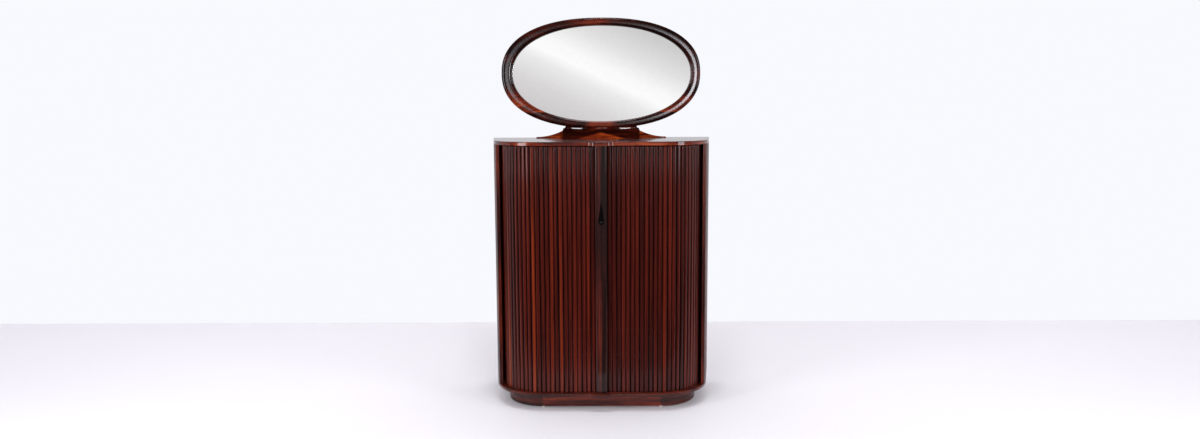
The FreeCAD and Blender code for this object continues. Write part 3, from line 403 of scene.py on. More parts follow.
# Painted shade: the right bar's wood is a darker copy of the left bar's.
right_stile_wood = lacquered_rosewood(
    "rosewood_right_stile",
    STILE_GRAIN,
    gloss=0.35,
    lift=painted_pull_shade,
    colours=[(0.1, "#060202"), (0.4, "#140605"), (0.54, "#280e0b"), (0.7, "#4c1c14")],
)
dress(right_stile_wood, "right_stile")


# Tambour curtains: rosewood slats with rounded faces, glued edge to edge on canvas.
# Their tongues run in the grooves of the top and bottom and carry the curtain round the corner.
SLATS = 24
SLATS_IN_SECTION = 3
BEND_X, BEND_RADIUS, BEND_ANGLE = 0.259, 0.195, math.radians(78)
TRACK_FRONT = -0.198
FIRST_EDGE = 0.0274
SLAT_PITCH = (BEND_X + BEND_RADIUS * BEND_ANGLE - FIRST_EDGE) / SLATS
SLAT_GAP = 0.0004
SLAT_WIDTH = SLAT_PITCH - SLAT_GAP
SLAT_DEPTH, SLAT_ROUND, SLAT_EASED = 0.011, 0.0075, 0.006
TONGUE, TONGUE_DEPTH = 0.007, 0.006
SLAT_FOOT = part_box("left_tambour_1")[0][2] + TONGUE
SLAT_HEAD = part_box("left_tambour_1")[1][2] - TONGUE
CLOTH = 0.0008
ARC_STEPS = 6
# The rounding of a slat's head: steps down from the top, and the share of its depth left there.
EASING = ((2.0, 1.0), (1.0, 1.0), (0.3, 0.85), (0.0, 0.6))


def prism(bm, outline, low, high, eased=0.0):
    """An upright prism over a closed outline, with its upper front edge eased if asked."""
    levels = [(low, 1.0), (high, 1.0)]
    if eased:
        levels[1:] = [(high - eased * drop, deep) for drop, deep in EASING]
    rings = [[bm.verts.new((x, y * deep, z)) for x, y in outline] for z, deep in levels]
    bm.faces.new(list(reversed(rings[0])))
    bm.faces.new(rings[-1])
    for lower, upper in zip(rings, rings[1:]):
        for i in range(len(outline)):
            j = (i + 1) % len(outline)
            bm.faces.new((lower[i], lower[j], upper[j], upper[i]))


half = SLAT_WIDTH / 2
bead = []
for side in (-1, 1):
    arc = []
    for step in range(ARC_STEPS + 1):
        angle = math.radians(90 * step / ARC_STEPS)
        x = side * (half - SLAT_ROUND + SLAT_ROUND * math.sin(angle))
        y = -SLAT_DEPTH + SLAT_ROUND * (1 - math.cos(angle))
        arc.append((x, y))
    bead += arc if side > 0 else list(reversed(arc))
bead += [(half, 0.0), (-half, 0.0)]
pattern = bmesh.new()
prism(pattern, bead, SLAT_FOOT, SLAT_HEAD, SLAT_EASED)
tongue = [(-half, -TONGUE_DEPTH), (half, -TONGUE_DEPTH), (half, 0.0), (-half, 0.0)]
prism(pattern, tongue, SLAT_FOOT - TONGUE, SLAT_FOOT)
prism(pattern, tongue, SLAT_HEAD, SLAT_HEAD + TONGUE)
slat_pattern = mesh_object("slat_pattern", pattern, 50)
# How far a point lies round the slat's rounded side, from its face towards the groove; it drives
# painted shade.
sunk = slat_pattern.data.attributes.new("groove", "FLOAT", "POINT")
for vertex, entry in zip(slat_pattern.data.vertices, sunk.data):
    entry.value = min(max((vertex.co.y + SLAT_DEPTH) / SLAT_ROUND, 0.0), 1.0)
strip = bmesh.new()
prism(strip, [(-half, 0.0), (half, 0.0), (half, CLOTH), (-half, CLOTH)], SLAT_FOOT, SLAT_HEAD)
cloth_pattern = mesh_object("cloth_pattern", strip)


def slat_colours_and_painted_shade(tree, place):
    """Red brown slats, a few black or orange; painted light lightens the left, painted shade
    darkens the right, the grooves and the slat by the stile.
    """
    mark = add(tree, "ShaderNodeAttribute", attribute_name="slat_tone").outputs["Fac"]
    # Mark 0, given to the slat beside the stile, is black: painted shade.
    tones_and_stile_shade = [
        (0.0, "#000000"),
        (0.06, "#707070"),
        (0.8, "#8c8c8c"),
        (0.92, "#949494"),
        (0.95, "#bcbcbc"),
    ]
    grey = add(tree, "ShaderNodeValToRGB", {"Fac": mark}, steps=tones_and_stile_shade).outputs["Color"]
    tone = add(
        tree, "ShaderNodeMath", {0: grey, 1: 0.5, 2: -0.12}, operation="MULTIPLY_ADD"
    ).outputs[0]
    # Painted light and shade: the slats are lighter on the left and darker on the right.
    across = add(tree, "ShaderNodeSeparateXYZ", {"Vector": place}).outputs["X"]
    painted_light_falloff = add(
        tree,
        "ShaderNodeMapRange",
        {"Value": across, "From Min": -0.4, "From Max": 0.4, "To Min": 0.06, "To Max": -0.03},
    ).outputs[0]
    shade = add(tree, "ShaderNodeMath", {0: tone, 1: painted_light_falloff}, operation="ADD").outputs[0]
    # Painted shade: each slat darkens round its rounded sides into the grooves.
    groove = add(tree, "ShaderNodeAttribute", attribute_name="groove").outputs["Fac"]
    return add(
        tree, "ShaderNodeMath", {0: groove, 1: -0.5, 2: shade}, operation="MULTIPLY_ADD"
    ).outputs[0]


# Rosewood with upright streaks about as wide as a slat: each slat has nearly one colour and a
# soft line of light along its face; the black line on either side of it is painted shade.
slat_wood = lacquered_rosewood(
    "rosewood_slats",
    (20, 20, 1800),
    gloss=0.33,
    blur=0.12,
    bare=0.03,
    lift=slat_colours_and_painted_shade,
    jump="slat_tone",
    colours=[
        (0.12, "#0a0302"),
        (0.38, "#3a100b"),
        (0.55, "#541910"),
        (0.72, "#702611"),
        (0.95, "#aa4c1a"),
    ],
)

# Woven canvas stiff with glue: dull, sandy and ribbed. Its threads, less than 1 mm apart, are
# drawn 2 mm apart, so as to show; a wave texture of scale 1 repeats every pi / 10 metres.
THREAD = 0.002
canvas, tree, shader = new_material("glued_canvas")
weave = add(tree, "ShaderNodeTexCoord").outputs["Object"]
threads = add(
    tree,
    "ShaderNodeTexWave",
    {"Vector": weave, "Scale": math.pi / 10 / THREAD, "Distortion": 1.0},
    bands_direction="Z",
).outputs["Fac"]
woven = add(
    tree, "ShaderNodeValToRGB", {"Fac": threads}, steps=[(0.2, "#6d6250"), (0.8, "#8f836c")]
)
tree.links.new(woven.outputs["Color"], shader.inputs["Base Color"])
ribs = add(tree, "ShaderNodeBump", {"Height": threads, "Strength": 0.3, "Distance": THREAD / 10})
tree.links.new(ribs.outputs[0], shader.inputs["Normal"])
stiff = add(tree, "ShaderNodeMapRange", {"Value": threads, "To Min": 0.95, "To Max": 0.8})
tree.links.new(stiff.outputs[0], shader.inputs["Roughness"])

# One section of a curtain: slats set along the track, straight in front and round the corner.
curtain = bpy.data.node_groups.new("tambour_section", "GeometryNodeTree")
for label, kind in (
    ("Slat", "NodeSocketObject"),
    ("Cloth", "NodeSocketObject"),
    ("Slats", "NodeSocketInt"),
    ("First", "NodeSocketInt"),
    ("Pitch", "NodeSocketFloat"),
    ("Start", "NodeSocketFloat"),
    ("Bend start", "NodeSocketFloat"),
    ("Bend radius", "NodeSocketFloat"),
    ("Track front", "NodeSocketFloat"),
    ("Side", "NodeSocketFloat"),
    ("Seed", "NodeSocketInt"),
    ("Slat wood", "NodeSocketMaterial"),
    ("Canvas", "NodeSocketMaterial"),
):
    curtain.interface.new_socket(label, in_out="INPUT", socket_type=kind)
curtain.interface.new_socket("Geometry", in_out="OUTPUT", socket_type="NodeSocketGeometry")
given = add(curtain, "NodeGroupInput").outputs
index = add(curtain, "GeometryNodeInputIndex").outputs[0]
number = add(curtain, "ShaderNodeMath", {0: index, 1: given["First"]}, operation="ADD").outputs[0]
middle = add(curtain, "ShaderNodeMath", {0: number, 1: 0.5}, operation="ADD").outputs[0]
along = add(
    curtain,
    "ShaderNodeMath",
    {0: middle, 1: given["Pitch"], 2: given["Start"]},
    operation="MULTIPLY_ADD",
).outputs[0]
straight = add(
    curtain, "ShaderNodeMath", {0: along, 1: given["Bend start"]}, operation="MINIMUM"
).outputs[0]
turned = add(curtain, "ShaderNodeMath", {0: along, 1: straight}, operation="SUBTRACT").outputs[0]
angle = add(
    curtain, "ShaderNodeMath", {0: turned, 1: given["Bend radius"]}, operation="DIVIDE"
).outputs[0]
sine = add(curtain, "ShaderNodeMath", {0: angle}, operation="SINE").outputs[0]
cosine = add(curtain, "ShaderNodeMath", {0: angle}, operation="COSINE").outputs[0]
x = add(
    curtain,
    "ShaderNodeMath",
    {0: sine, 1: given["Bend radius"], 2: straight},
    operation="MULTIPLY_ADD",
).outputs[0]
back = add(curtain, "ShaderNodeMath", {0: 1.0, 1: cosine}, operation="SUBTRACT").outputs[0]
y = add(
    curtain,
    "ShaderNodeMath",
    {0: back, 1: given["Bend radius"], 2: given["Track front"]},
    operation="MULTIPLY_ADD",
).outputs[0]
sided_x = add(
    curtain, "ShaderNodeMath", {0: x, 1: given["Side"]}, operation="MULTIPLY"
).outputs[0]
sided_turn = add(
    curtain, "ShaderNodeMath", {0: angle, 1: given["Side"]}, operation="MULTIPLY"
).outputs[0]
place = add(curtain, "ShaderNodeCombineXYZ", {"X": sided_x, "Y": y}).outputs[0]
turn = add(curtain, "ShaderNodeCombineXYZ", {"Z": sided_turn}).outputs[0]
points = add(
    curtain, "GeometryNodePoints", {"Count": given["Slats"], "Position": place}
).outputs[0]
chance = add(
    curtain, "FunctionNodeRandomValue", {"ID": number, "Seed": given["Seed"]}, data_type="FLOAT"
).outputs["Value"]
# The slat beside the stile is always painted black, as painted shade beside the proud stile.
outer = add(curtain, "ShaderNodeMath", {0: number, 1: 0.5}, operation="GREATER_THAN").outputs[0]
tone = add(curtain, "ShaderNodeMath", {0: chance, 1: outer}, operation="MULTIPLY").outputs[0]
joined = add(curtain, "GeometryNodeJoinGeometry")
for shape, finish in (("Slat", "Slat wood"), ("Cloth", "Canvas")):
    source = add(curtain, "GeometryNodeObjectInfo", {"Object": given[shape]}).outputs["Geometry"]
    placed = add(
        curtain,
        "GeometryNodeInstanceOnPoints",
        {"Points": points, "Instance": source, "Rotation": turn},
    ).outputs[0]
    marked = add(
        curtain,
        "GeometryNodeStoreNamedAttribute",
        {"Geometry": placed, "Name": "slat_tone", "Value": tone},
        data_type="FLOAT",
        domain="INSTANCE",
    ).outputs[0]
    real = add(curtain, "GeometryNodeRealizeInstances", {"Geometry": marked}).outputs[0]
    finished = add(
        curtain, "GeometryNodeSetMaterial", {"Geometry": real, "Material": given[finish]}
    ).outputs[0]
    curtain.links.new(finished, joined.inputs[0])
add(curtain, "NodeGroupOutput", {"Geometry": joined.outputs[0]})
sockets = {
    item.name: item.identifier
    for item in curtain.interface.items_tree
    if item.in_out == "INPUT"
}


def node_piece(name, tree, values):
    """Runs a node tree once and returns its result as a plain mesh object."""
    holder = bpy.data.objects.new(f"{name}_holder", bpy.data.meshes.new(f"{name}_holder"))
    bpy.context.scene.collection.objects.link(holder)
    modifier = holder.modifiers.new("nodes", "NODES")
    modifier.node_group = tree
    for label, value in values.items():
        modifier[sockets[label]] = value
    seen = holder.evaluated_get(bpy.context.evaluated_depsgraph_get())
    mesh = bpy.data.meshes.new_from_object(seen)
    mesh.name = name
    holder.modifiers.clear()
    bpy.data.objects.remove(holder)
    piece = bpy.data.objects.new(name, mesh)
    bpy.context.scene.collection.objects.link(piece)
    return piece


for hand, side, seed in (("left", -1.0, 142), ("right", 1.0, 197)):
    for section in range(SLATS // SLATS_IN_SECTION):
        piece = node_piece(
            f"{hand}_slats_{section + 1}",
            curtain,
            {
                "Slat": slat_pattern,
                "Cloth": cloth_pattern,
                "Slats": SLATS_IN_SECTION,
                "First": section * SLATS_IN_SECTION,
                "Pitch": SLAT_PITCH,
                "Start": FIRST_EDGE,
                "Bend start": BEND_X,
                "Bend radius": BEND_RADIUS,
                "Track front": TRACK_FRONT,
                "Side": side,
                "Seed": seed,
                "Slat wood": slat_wood,
                "Canvas": canvas,
            },
        )
        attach(piece, f"{hand}_curtain_{section + 1}")
        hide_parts(f"{hand}_tambour_{section + 1}")
bpy.data.objects.remove(slat_pattern)
bpy.data.objects.remove(cloth_pattern)


# Mirror base: a rosewood block screwed to the top from below, with low wings behind it.
# Its upper front is hollowed on both sides of a tongue that flows into the frame above.
base_low, base_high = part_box("mirror_base")
frame_low, frame_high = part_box("mirror_frame")
BASE_FOOT, BASE_FRONT, BASE_BACK = base_low[2], base_low[1], base_high[1]
NECK_HEIGHT = base_high[2] - base_low[2]
WING_HALF, BLOCK_HALF, NECK_HALF = base_high[0], 0.183, 0.172
SHOULDER = BLOCK_HALF - NECK_HALF
FACE_HEIGHT, BLOCK_BEVEL, LEDGE_RISE = 0.042, 0.002, 0.002
WING_FRONT, WING_BACK = BASE_BACK - 0.045, BASE_BACK - 0.0005
WING_HEIGHT, WING_TIP, WING_SOFT, WING_LAP = 0.038, 0.004, 0.003, 0.002
TONGUE_HALF, TONGUE_PROUD = 0.06, 0.012
COVE_X, COVE_HALF, COVE_HEIGHT, COVE_SLOPE = 0.106, 0.044, 0.0045, math.radians(57)
LEAST_COVE, COVE_SHARE = 0.0004, 0.6
UNDER_FRAME = frame_low[1] + 0.004
COLUMNS = 120
# The face of the block's profile that is the hollow: the fifth, from its foot at the back.
COVE_FACE = 4


def loft(bm, rows, glossy=None):
    """A closed solid through rows of points; one of its strips can have the second finish."""
    for here, after in zip(rows, rows[1:]):
        for i in range(len(here)):
            j = (i + 1) % len(here)
            face = bm.faces.new((here[i], after[i], after[j], here[j]))
            face.material_index = int(i == glossy)
    bm.faces.new(rows[0])
    bm.faces.new(list(reversed(rows[-1])))


carving = bmesh.new()
rows = []
for column in range(COLUMNS + 1):
    x = BLOCK_HALF * math.sin(math.pi / 2 * (2 * column / COLUMNS - 1))
    tongue = math.exp(-((x / TONGUE_HALF) ** 4))
    bite = max(abs(x) - NECK_HALF, 0.0)
    head = NECK_HEIGHT - math.sqrt(max(SHOULDER**2 - (SHOULDER - bite) ** 2, 0.0))
    low = min(FACE_HEIGHT, head - 2 * BLOCK_BEVEL)
    cove = max(1 - ((abs(x) - COVE_X) / COVE_HALF) ** 2, 0.0)
    ledge = min(low + LEDGE_RISE * (3 - 2 * cove), head - BLOCK_BEVEL)
    cove_high = min(LEAST_COVE + COVE_HEIGHT * math.sqrt(cove), (head - ledge) * COVE_SHARE)
    wall = UNDER_FRAME - TONGUE_PROUD * tongue
    profile = [
        (BASE_BACK, 0.0),
        (BASE_FRONT, 0.0),
        (BASE_FRONT, low - BLOCK_BEVEL),
        (BASE_FRONT + BLOCK_BEVEL, low),
        (wall - cove_high / math.tan(COVE_SLOPE), ledge),
        (wall, ledge + cove_high),
        (wall - 0.001, head),
        (BASE_BACK, head),
    ]
    rows.append([carving.verts.new((x, y, BASE_FOOT + z)) for y, z in profile])
loft(carving, rows, COVE_FACE)
rows = []
for column in range(COLUMNS + 1):
    x = WING_HALF * (2 * column / COLUMNS - 1)
    out = max(abs(x) - BLOCK_HALF + WING_LAP, 0.0) / (WING_HALF - BLOCK_HALF + WING_LAP)
    head = WING_TIP + (WING_HEIGHT - WING_TIP) * (1 - out) ** 2
    soft = min(WING_SOFT, head / 3)
    outline = [
        (WING_BACK, 0.0),
        (WING_FRONT, 0.0),
        (WING_FRONT, head - soft),
        (WING_FRONT + soft, head),
        (WING_BACK - soft, head),
        (WING_BACK, head - soft),
    ]
    rows.append([carving.verts.new((x, y, BASE_FOOT + z)) for y, z in outline])
loft(carving, rows)
carved_base = mesh_object("carved_base", carving, 20)


def base_flame(tree, place):
    """An orange flame low in the middle, an orange tongue and wings, and dark wood between."""
    parts = add(tree, "ShaderNodeSeparateXYZ", {"Vector": place}).outputs
    aside = add(tree, "ShaderNodeMath", {0: parts["X"]}, operation="ABSOLUTE").outputs[0]
    height = add(
        tree, "ShaderNodeMath", {0: parts["Z"], 1: BASE_FOOT}, operation="SUBTRACT"
    ).outputs[0]
    slope = add(
        tree, "ShaderNodeMath", {0: aside, 1: 0.27, 2: height}, operation="MULTIPLY_ADD"
    ).outputs[0]
    flame = add(
        tree,
        "ShaderNodeMapRange",
        {"Value": slope, "From Min": 0.028, "From Max": 0.033, "To Min": 0.36, "To Max": 0.0},
    ).outputs[0]
    wing = add(
        tree,
        "ShaderNodeMapRange",
        {"Value": aside, "From Min": 0.1832, "From Max": 0.184, "To Min": 0.0, "To Max": 0.36},
    ).outputs[0]
    bridge = add(
        tree,
        "ShaderNodeMapRange",
        {"Value": aside, "From Min": 0.04, "From Max": 0.07, "To Min": 0.3, "To Max": 0.0},
    ).outputs[0]
    above = add(
        tree, "ShaderNodeMapRange", {"Value": height, "From Min": 0.040, "From Max": 0.046}
    ).outputs[0]
    bridge = add(tree, "ShaderNodeMath", {0: bridge, 1: above}, operation="MULTIPLY").outputs[0]
    lit = add(tree, "ShaderNodeMath", {0: flame, 1: wing}, operation="MAXIMUM").outputs[0]
    lit = add(tree, "ShaderNodeMath", {0: lit, 1: bridge}, operation="MAXIMUM").outputs[0]
    return add(tree, "ShaderNodeMath", {0: lit, 1: 0.2}, operation="SUBTRACT").outputs[0]


# Figured rosewood with level streaks 12 mm high: nearly black with clear orange parts. The
# face has hardly any lacquer, so its colours stay deep; it gathers in the hollows, which shine.
DARK_ROSEWOOD = [
    (0.10, "#0c0302"),
    (0.32, "#220a06"),
    (0.50, "#42130a"),
    (0.68, "#722812"),
    (0.90, "#b44e18"),
]
BASE_ROSEWOOD = [(0.10, "#180503"), (0.32, "#280a05")] + DARK_ROSEWOOD[2:]
BASE_GRAIN = (120, 60, 12)
base_wood = lacquered_rosewood(
    "rosewood_base", BASE_GRAIN, gloss=0.02, bare=0.0, lift=base_flame, colours=BASE_ROSEWOOD
)
carved_base.data.materials.append(base_wood)
cove_wood = lacquered_rosewood(
    "rosewood_base_hollows", BASE_GRAIN, lift=base_flame, colours=BASE_ROSEWOOD
)
carved_base.data.materials.append(cove_wood)
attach(carved_base, "case")
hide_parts("mirror_base")
dress(beech, "mirror_dowels")

# Zinc plate: grey metal with a mottle of crystals, drawn 3.3 mm wide, so as to show.
steel = fine_grained(
    "zinc_plated_steel", 3.3, [(0.3, "#85888a"), (0.7, "#a6a9aa")], (0.42, 0.28), 1.0
)
dress(steel, "mirror_base_screws")


# Mirror frame: an oval ring carved from rosewood planks with level grain, rounded all over.
# It is wider at its ends than above and below, and stands on the base by two dowels.
MIRROR_Z = (frame_low[2] + frame_high[2]) / 2
OUTER_HALF = (frame_high[0] - 0.003, (frame_high[2] - frame_low[2]) / 2 - 0.002)
BAND_END, BAND_MIDDLE = 0.049, 0.0355
SIGHT_HALF = (OUTER_HALF[0] - BAND_END, OUTER_HALF[1] - BAND_MIDDLE)
SIGHT_SHIFT = (0.003, -0.0014)
FRAME_FRONT, FRAME_BACK = frame_low[1], frame_high[1]
# Powers of the superellipses: 2 is an ellipse, and more than 2 is squarer.
OUTER_POWER, SIGHT_POWER, SECTION_POWER = 2.31, 2.14, 3.45
STATIONS, AROUND = 300, 48


def rounded(value, power):
    """A power of a number that keeps its sign."""
    return math.copysign(abs(value) ** power, value)


ring = bmesh.new()
rows = []
for station in range(STATIONS):
    turn = 2 * math.pi * station / STATIONS
    outer = [
        size * rounded(value, 2 / OUTER_POWER)
        for size, value in zip(OUTER_HALF, (math.cos(turn), math.sin(turn)))
    ]
    inner = [
        size * rounded(value, 2 / SIGHT_POWER) + shift
        for size, value, shift in zip(SIGHT_HALF, (math.cos(turn), math.sin(turn)), SIGHT_SHIFT)
    ]
    row = []
    for step in range(AROUND):
        lap = 2 * math.pi * step / AROUND
        square = abs(math.cos(lap)) ** SECTION_POWER + abs(math.sin(lap)) ** SECTION_POWER
        reach = 0.5 / square ** (1 / SECTION_POWER)
        across = 0.5 + reach * math.cos(lap)
        depth = 0.5 + reach * math.sin(lap)
        x = inner[0] + (outer[0] - inner[0]) * across
        y = FRAME_BACK + (FRAME_FRONT - FRAME_BACK) * depth
        z = MIRROR_Z + inner[1] + (outer[1] - inner[1]) * across
        row.append(ring.verts.new((x, y, z)))
    rows.append(row)
for station in range(STATIONS):
    here, after = rows[station], rows[(station + 1) % STATIONS]
    for step in range(AROUND):
        beyond = (step + 1) % AROUND
        ring.faces.new((here[step], here[beyond], after[beyond], after[step]))
oval_frame = mesh_object("oval_frame", ring, 80)


def frame_planks(tree, place):
    """Dark planks, with an orange one at each lower end and orange at the head and foot."""
    parts = add(tree, "ShaderNodeSeparateXYZ", {"Vector": place}).outputs
    height = add(
        tree,
        "ShaderNodeMapRange",
        {"Value": parts["Z"], "From Min": frame_low[2], "From Max": frame_high[2]},
    ).outputs[0]
    ends = [
        (0.148, "#000000"),
        (0.154, "#d8d8d8"),
        (0.26, "#bcbcbc"),
        (0.36, "#404040"),
        (0.44, "#202020"),
    ]
    end_tone = add(tree, "ShaderNodeValToRGB", {"Fac": height}, steps=ends).outputs["Color"]
    aside = add(
        tree, "ShaderNodeMapRange", {"Value": parts["X"], "From Min": -0.3, "From Max": 0.3}
    ).outputs[0]
    heads = [
        (0.12, "#505050"),
        (0.30, "#787878"),
        (0.52, "#8c8c8c"),
        (0.60, "#505050"),
        (0.78, "#707070"),
        (0.9, "#303030"),
    ]
    head_tone = add(tree, "ShaderNodeValToRGB", {"Fac": aside}, steps=heads).outputs["Color"]
    at_head = add(
        tree, "ShaderNodeMapRange", {"Value": height, "From Min": 0.86, "From Max": 0.95}
    ).outputs[0]
    head_tone = add(
        tree, "ShaderNodeMath", {0: head_tone, 1: at_head}, operation="MULTIPLY"
    ).outputs[0]
    feet = [(0.36, "#000000"), (0.42, "#b8b8b8"), (0.58, "#b8b8b8"), (0.64, "#000000")]
    foot_tone = add(tree, "ShaderNodeValToRGB", {"Fac": aside}, steps=feet).outputs["Color"]
    at_foot = add(
        tree,
        "ShaderNodeMapRange",
        {"Value": height, "From Min": 0.06, "From Max": 0.12, "To Min": 1.0, "To Max": 0.0},
    ).outputs[0]
    foot_tone = add(
        tree, "ShaderNodeMath", {0: foot_tone, 1: at_foot}, operation="MULTIPLY"
    ).outputs[0]
    lit = add(
        tree, "ShaderNodeMath", {0: end_tone, 1: head_tone}, operation="MAXIMUM"
    ).outputs[0]
    lit = add(tree, "ShaderNodeMath", {0: lit, 1: foot_tone}, operation="MAXIMUM").outputs[0]
    return add(
        tree, "ShaderNodeMath", {0: lit, 1: 0.65, 2: -0.22}, operation="MULTIPLY_ADD"
    ).outputs[0]


# The same dark rosewood with streaks 60 mm high, under lacquer that gives broad soft lights.
frame_wood = lacquered_rosewood(
    "rosewood_frame",
    (300, 60, 60),
    gloss=0.47,
    blur=0.18,
    bare=0.0,
    lift=frame_planks,
    colours=DARK_ROSEWOOD,
)
oval_frame.data.materials.append(frame_wood)
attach(oval_frame, "case")
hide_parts("mirror_frame")


# Mirror glass: silvered float glass in a rebate behind the frame, held by a board and buttons.
# The silvering gives a sharp reflection of nearly all the light. Dust, in patches 17 mm wide,
# dims it a little; polished glass has no grain, so its roughness is the same all over.
DUST = 0.017
silver, tree, shader = new_material("silvered_glass")
place = add(tree, "ShaderNodeTexCoord").outputs["Object"]
dust = add(
    tree, "ShaderNodeTexNoise", {"Vector": place, "Scale": 1 / DUST, "Detail": 4.0}
).outputs["Fac"]
dusted = add(
    tree, "ShaderNodeValToRGB", {"Fac": dust}, steps=[(0.3, "#fafafa"), (0.7, "#fdfdfd")]
)
tree.links.new(dusted.outputs["Color"], shader.inputs["Base Color"])
shader.inputs["Metallic"].default_value = 1.0
shader.inputs["Roughness"].default_value = 0.0
dress(silver, "mirror_glass")
dress(mahogany_level, "mirror_back_board")
dress(brass, "mirror_clips")


# Studio: a plain pale floor and walls, soft lamps on both sides, and a card behind the camera
# that the mirror shows as a light grey sheet with one brighter slanting band.
def sheet_object(name, corners, material):
    """A flat four-cornered sheet of the stage."""
    mesh = bpy.data.meshes.new(name)
    mesh.from_pydata(corners, [], [(0, 1, 2, 3)])
    obj = bpy.data.objects.new(name, mesh)
    mesh.materials.append(material)
    bpy.context.scene.collection.objects.link(obj)


WALL_X, WALL_Y, WALL_TOP = 4, 1.45, 3
FLOOR_FRONT = -0.8
PALE = linear("#f8f9fe")

# Matt floor paint: an even pale grey that takes a soft shadow.
floor_paint, tree, shader = new_material("pale_floor")
shader.inputs["Base Color"].default_value = linear("#eeecee")
shader.inputs["Roughness"].default_value = 0.6
corners = [(-WALL_X, FLOOR_FRONT, 0), (WALL_X, FLOOR_FRONT, 0)]
corners += [(WALL_X, WALL_Y, 0), (-WALL_X, WALL_Y, 0)]
sheet_object("floor", corners, floor_paint)

# Matt wall paint: white to the camera and in gloss, and see-through from behind.
wall_paint, tree, shader = new_material("white_wall")
shader.inputs["Base Color"].default_value = linear("#f4f4f6")
shader.inputs["Roughness"].default_value = 0.8
path = add(tree, "ShaderNodeLightPath").outputs
seen = add(
    tree,
    "ShaderNodeMath",
    {0: path["Is Camera Ray"], 1: path["Is Glossy Ray"]},
    operation="MAXIMUM",
).outputs[0]
glow = add(tree, "ShaderNodeEmission", {"Color": PALE, "Strength": 1.0}).outputs[0]
mixed = add(tree, "ShaderNodeMixShader", {0: seen, 1: shader.outputs[0], 2: glow}).outputs[0]
behind = add(tree, "ShaderNodeNewGeometry").outputs["Backfacing"]
clear = add(tree, "ShaderNodeBsdfTransparent").outputs[0]
one_sided = add(tree, "ShaderNodeMixShader", {0: behind, 1: mixed, 2: clear}).outputs[0]
output = next(node for node in tree.nodes if node.type == "OUTPUT_MATERIAL")
tree.links.new(one_sided, output.inputs["Surface"])
for name, start, end in (
    ("wall", (-WALL_X, WALL_Y), (WALL_X, WALL_Y)),
    ("left_wall", (-WALL_X, FLOOR_FRONT), (-WALL_X, WALL_Y)),
    ("right_wall", (WALL_X, WALL_Y), (WALL_X, FLOOR_FRONT)),
):
    corners = [(*start, 0), (*end, 0), (*end, WALL_TOP), (*start, WALL_TOP)]
    sheet_object(name, corners, wall_paint)

# Grey card: seen only in sharp reflections, and clear to all other light.
CARD_X, CARD_Y, CARD_LOW, CARD_HIGH = 6, -5.9, -3, 5
BAND_LEAN, BAND_FROM, BAND_TO = 0.48, 0.873, 2.473
card_paint = bpy.data.materials.new("grey_card")
card_paint.use_nodes = True
tree = card_paint.node_tree
tree.nodes.clear()
place = add(tree, "ShaderNodeTexCoord").outputs["Object"]
parts = add(tree, "ShaderNodeSeparateXYZ", {"Vector": place}).outputs
lean = add(
    tree, "ShaderNodeMath", {0: parts["X"], 1: BAND_LEAN, 2: parts["Z"]}, operation="MULTIPLY_ADD"
).outputs[0]
band = add(
    tree, "ShaderNodeMapRange", {"Value": lean, "From Min": BAND_FROM, "From Max": BAND_TO}
).outputs[0]
greys = [
    (0.05, "#cfcccd"),
    (0.22, "#dad8d9"),
    (0.40, "#eeeded"),
    (0.49, "#ffffff"),
    (0.58, "#fcfcfc"),
    (0.75, "#e5e4e5"),
    (0.95, "#cfcece"),
]
shade = add(tree, "ShaderNodeValToRGB", {"Fac": band}, steps=greys).outputs["Color"]
sharp = add(tree, "ShaderNodeLightPath").outputs["Is Singular Ray"]
glow = add(tree, "ShaderNodeEmission", {"Color": shade, "Strength": 1.0}).outputs[0]
clear = add(tree, "ShaderNodeBsdfTransparent").outputs[0]
mixed = add(tree, "ShaderNodeMixShader", {0: sharp, 1: clear, 2: glow}).outputs[0]
add(tree, "ShaderNodeOutputMaterial", {"Surface": mixed})
corners = [(-CARD_X, CARD_Y, CARD_LOW), (CARD_X, CARD_Y, CARD_LOW)]
corners += [(CARD_X, CARD_Y, CARD_HIGH), (-CARD_X, CARD_Y, CARD_HIGH)]
sheet_object("card", corners, card_paint)

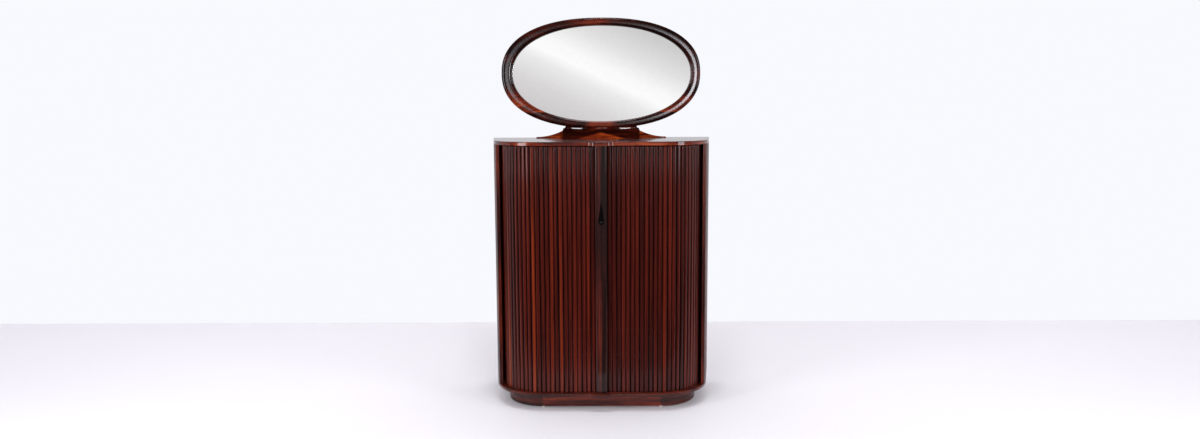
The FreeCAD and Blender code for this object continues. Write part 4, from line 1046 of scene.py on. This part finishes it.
# The world is as pale as the walls to the camera and in the mirror, and lights the chest little.
world = bpy.data.worlds.new("studio")
bpy.context.scene.world = world
world.use_nodes = True
tree = world.node_tree
tree.nodes.clear()
path = add(tree, "ShaderNodeLightPath").outputs
seen = add(
    tree,
    "ShaderNodeMath",
    {0: path["Is Camera Ray"], 1: path["Is Singular Ray"]},
    operation="MAXIMUM",
).outputs[0]
level = add(tree, "ShaderNodeMapRange", {"Value": seen, "To Min": 0.06, "To Max": 1.0}).outputs[0]
sky = add(tree, "ShaderNodeBackground", {"Color": PALE, "Strength": level})
add(tree, "ShaderNodeOutputWorld", {"Surface": sky.outputs[0]})


def lamp(name, place, target, size, power):
    """A rectangular lamp, turned to its target and hidden from the camera."""
    light = bpy.data.lights.new(name, "AREA")
    light.shape = "RECTANGLE"
    light.size, light.size_y = size
    light.energy = power
    light.color = linear("#faf9ff")[:3]
    obj = bpy.data.objects.new(name, light)
    bpy.context.scene.collection.objects.link(obj)
    obj.location = place
    obj.rotation_euler = (Vector(target) - Vector(place)).to_track_quat("-Z", "Y").to_euler()
    obj.visible_camera = False
    return obj


lamp("left_softbox", (-3.0, -2.4, 1.75), (0, 0, 1.2), (1.0, 2.0), 75)
lamp("right_softbox", (3.3, -2.3, 1.8), (0, 0, 1.2), (1.0, 2.0), 64)
lamp("left_window", (-1.25, -6.2, 1.6), (-1.25, 0, 1.6), (0.9, 0.55), 24)
lamp("right_window", (1.1, -6.2, 1.6), (1.1, 0, 1.6), (0.7, 0.55), 105)
lamp("strip_light", (0.0, -1.2, 4.0), (0.0, -1.2, 0), (0.54, 0.6), 28)
ceiling = lamp("ceiling_softbox", (0, -1.3, 4.2), (0, -1.3, 0), (6.0, 6.0), 136)
ceiling.visible_glossy = False

# The camera, fitted to the chest's edges in the photograph.
camera = bpy.data.cameras.new("photo_camera")
camera.sensor_width = 36.0
camera.lens = 27.0
camera.shift_y = -0.00552
view = bpy.data.objects.new("photo_camera", camera)
bpy.context.scene.collection.objects.link(view)
view.location = (0.019, -4.201, 1.4262)
view.rotation_euler = (math.pi / 2 - 0.1266, 0.0047, 0.0054)
bpy.context.scene.camera = view
bpy.context.scene.view_settings.view_transform = "Standard"
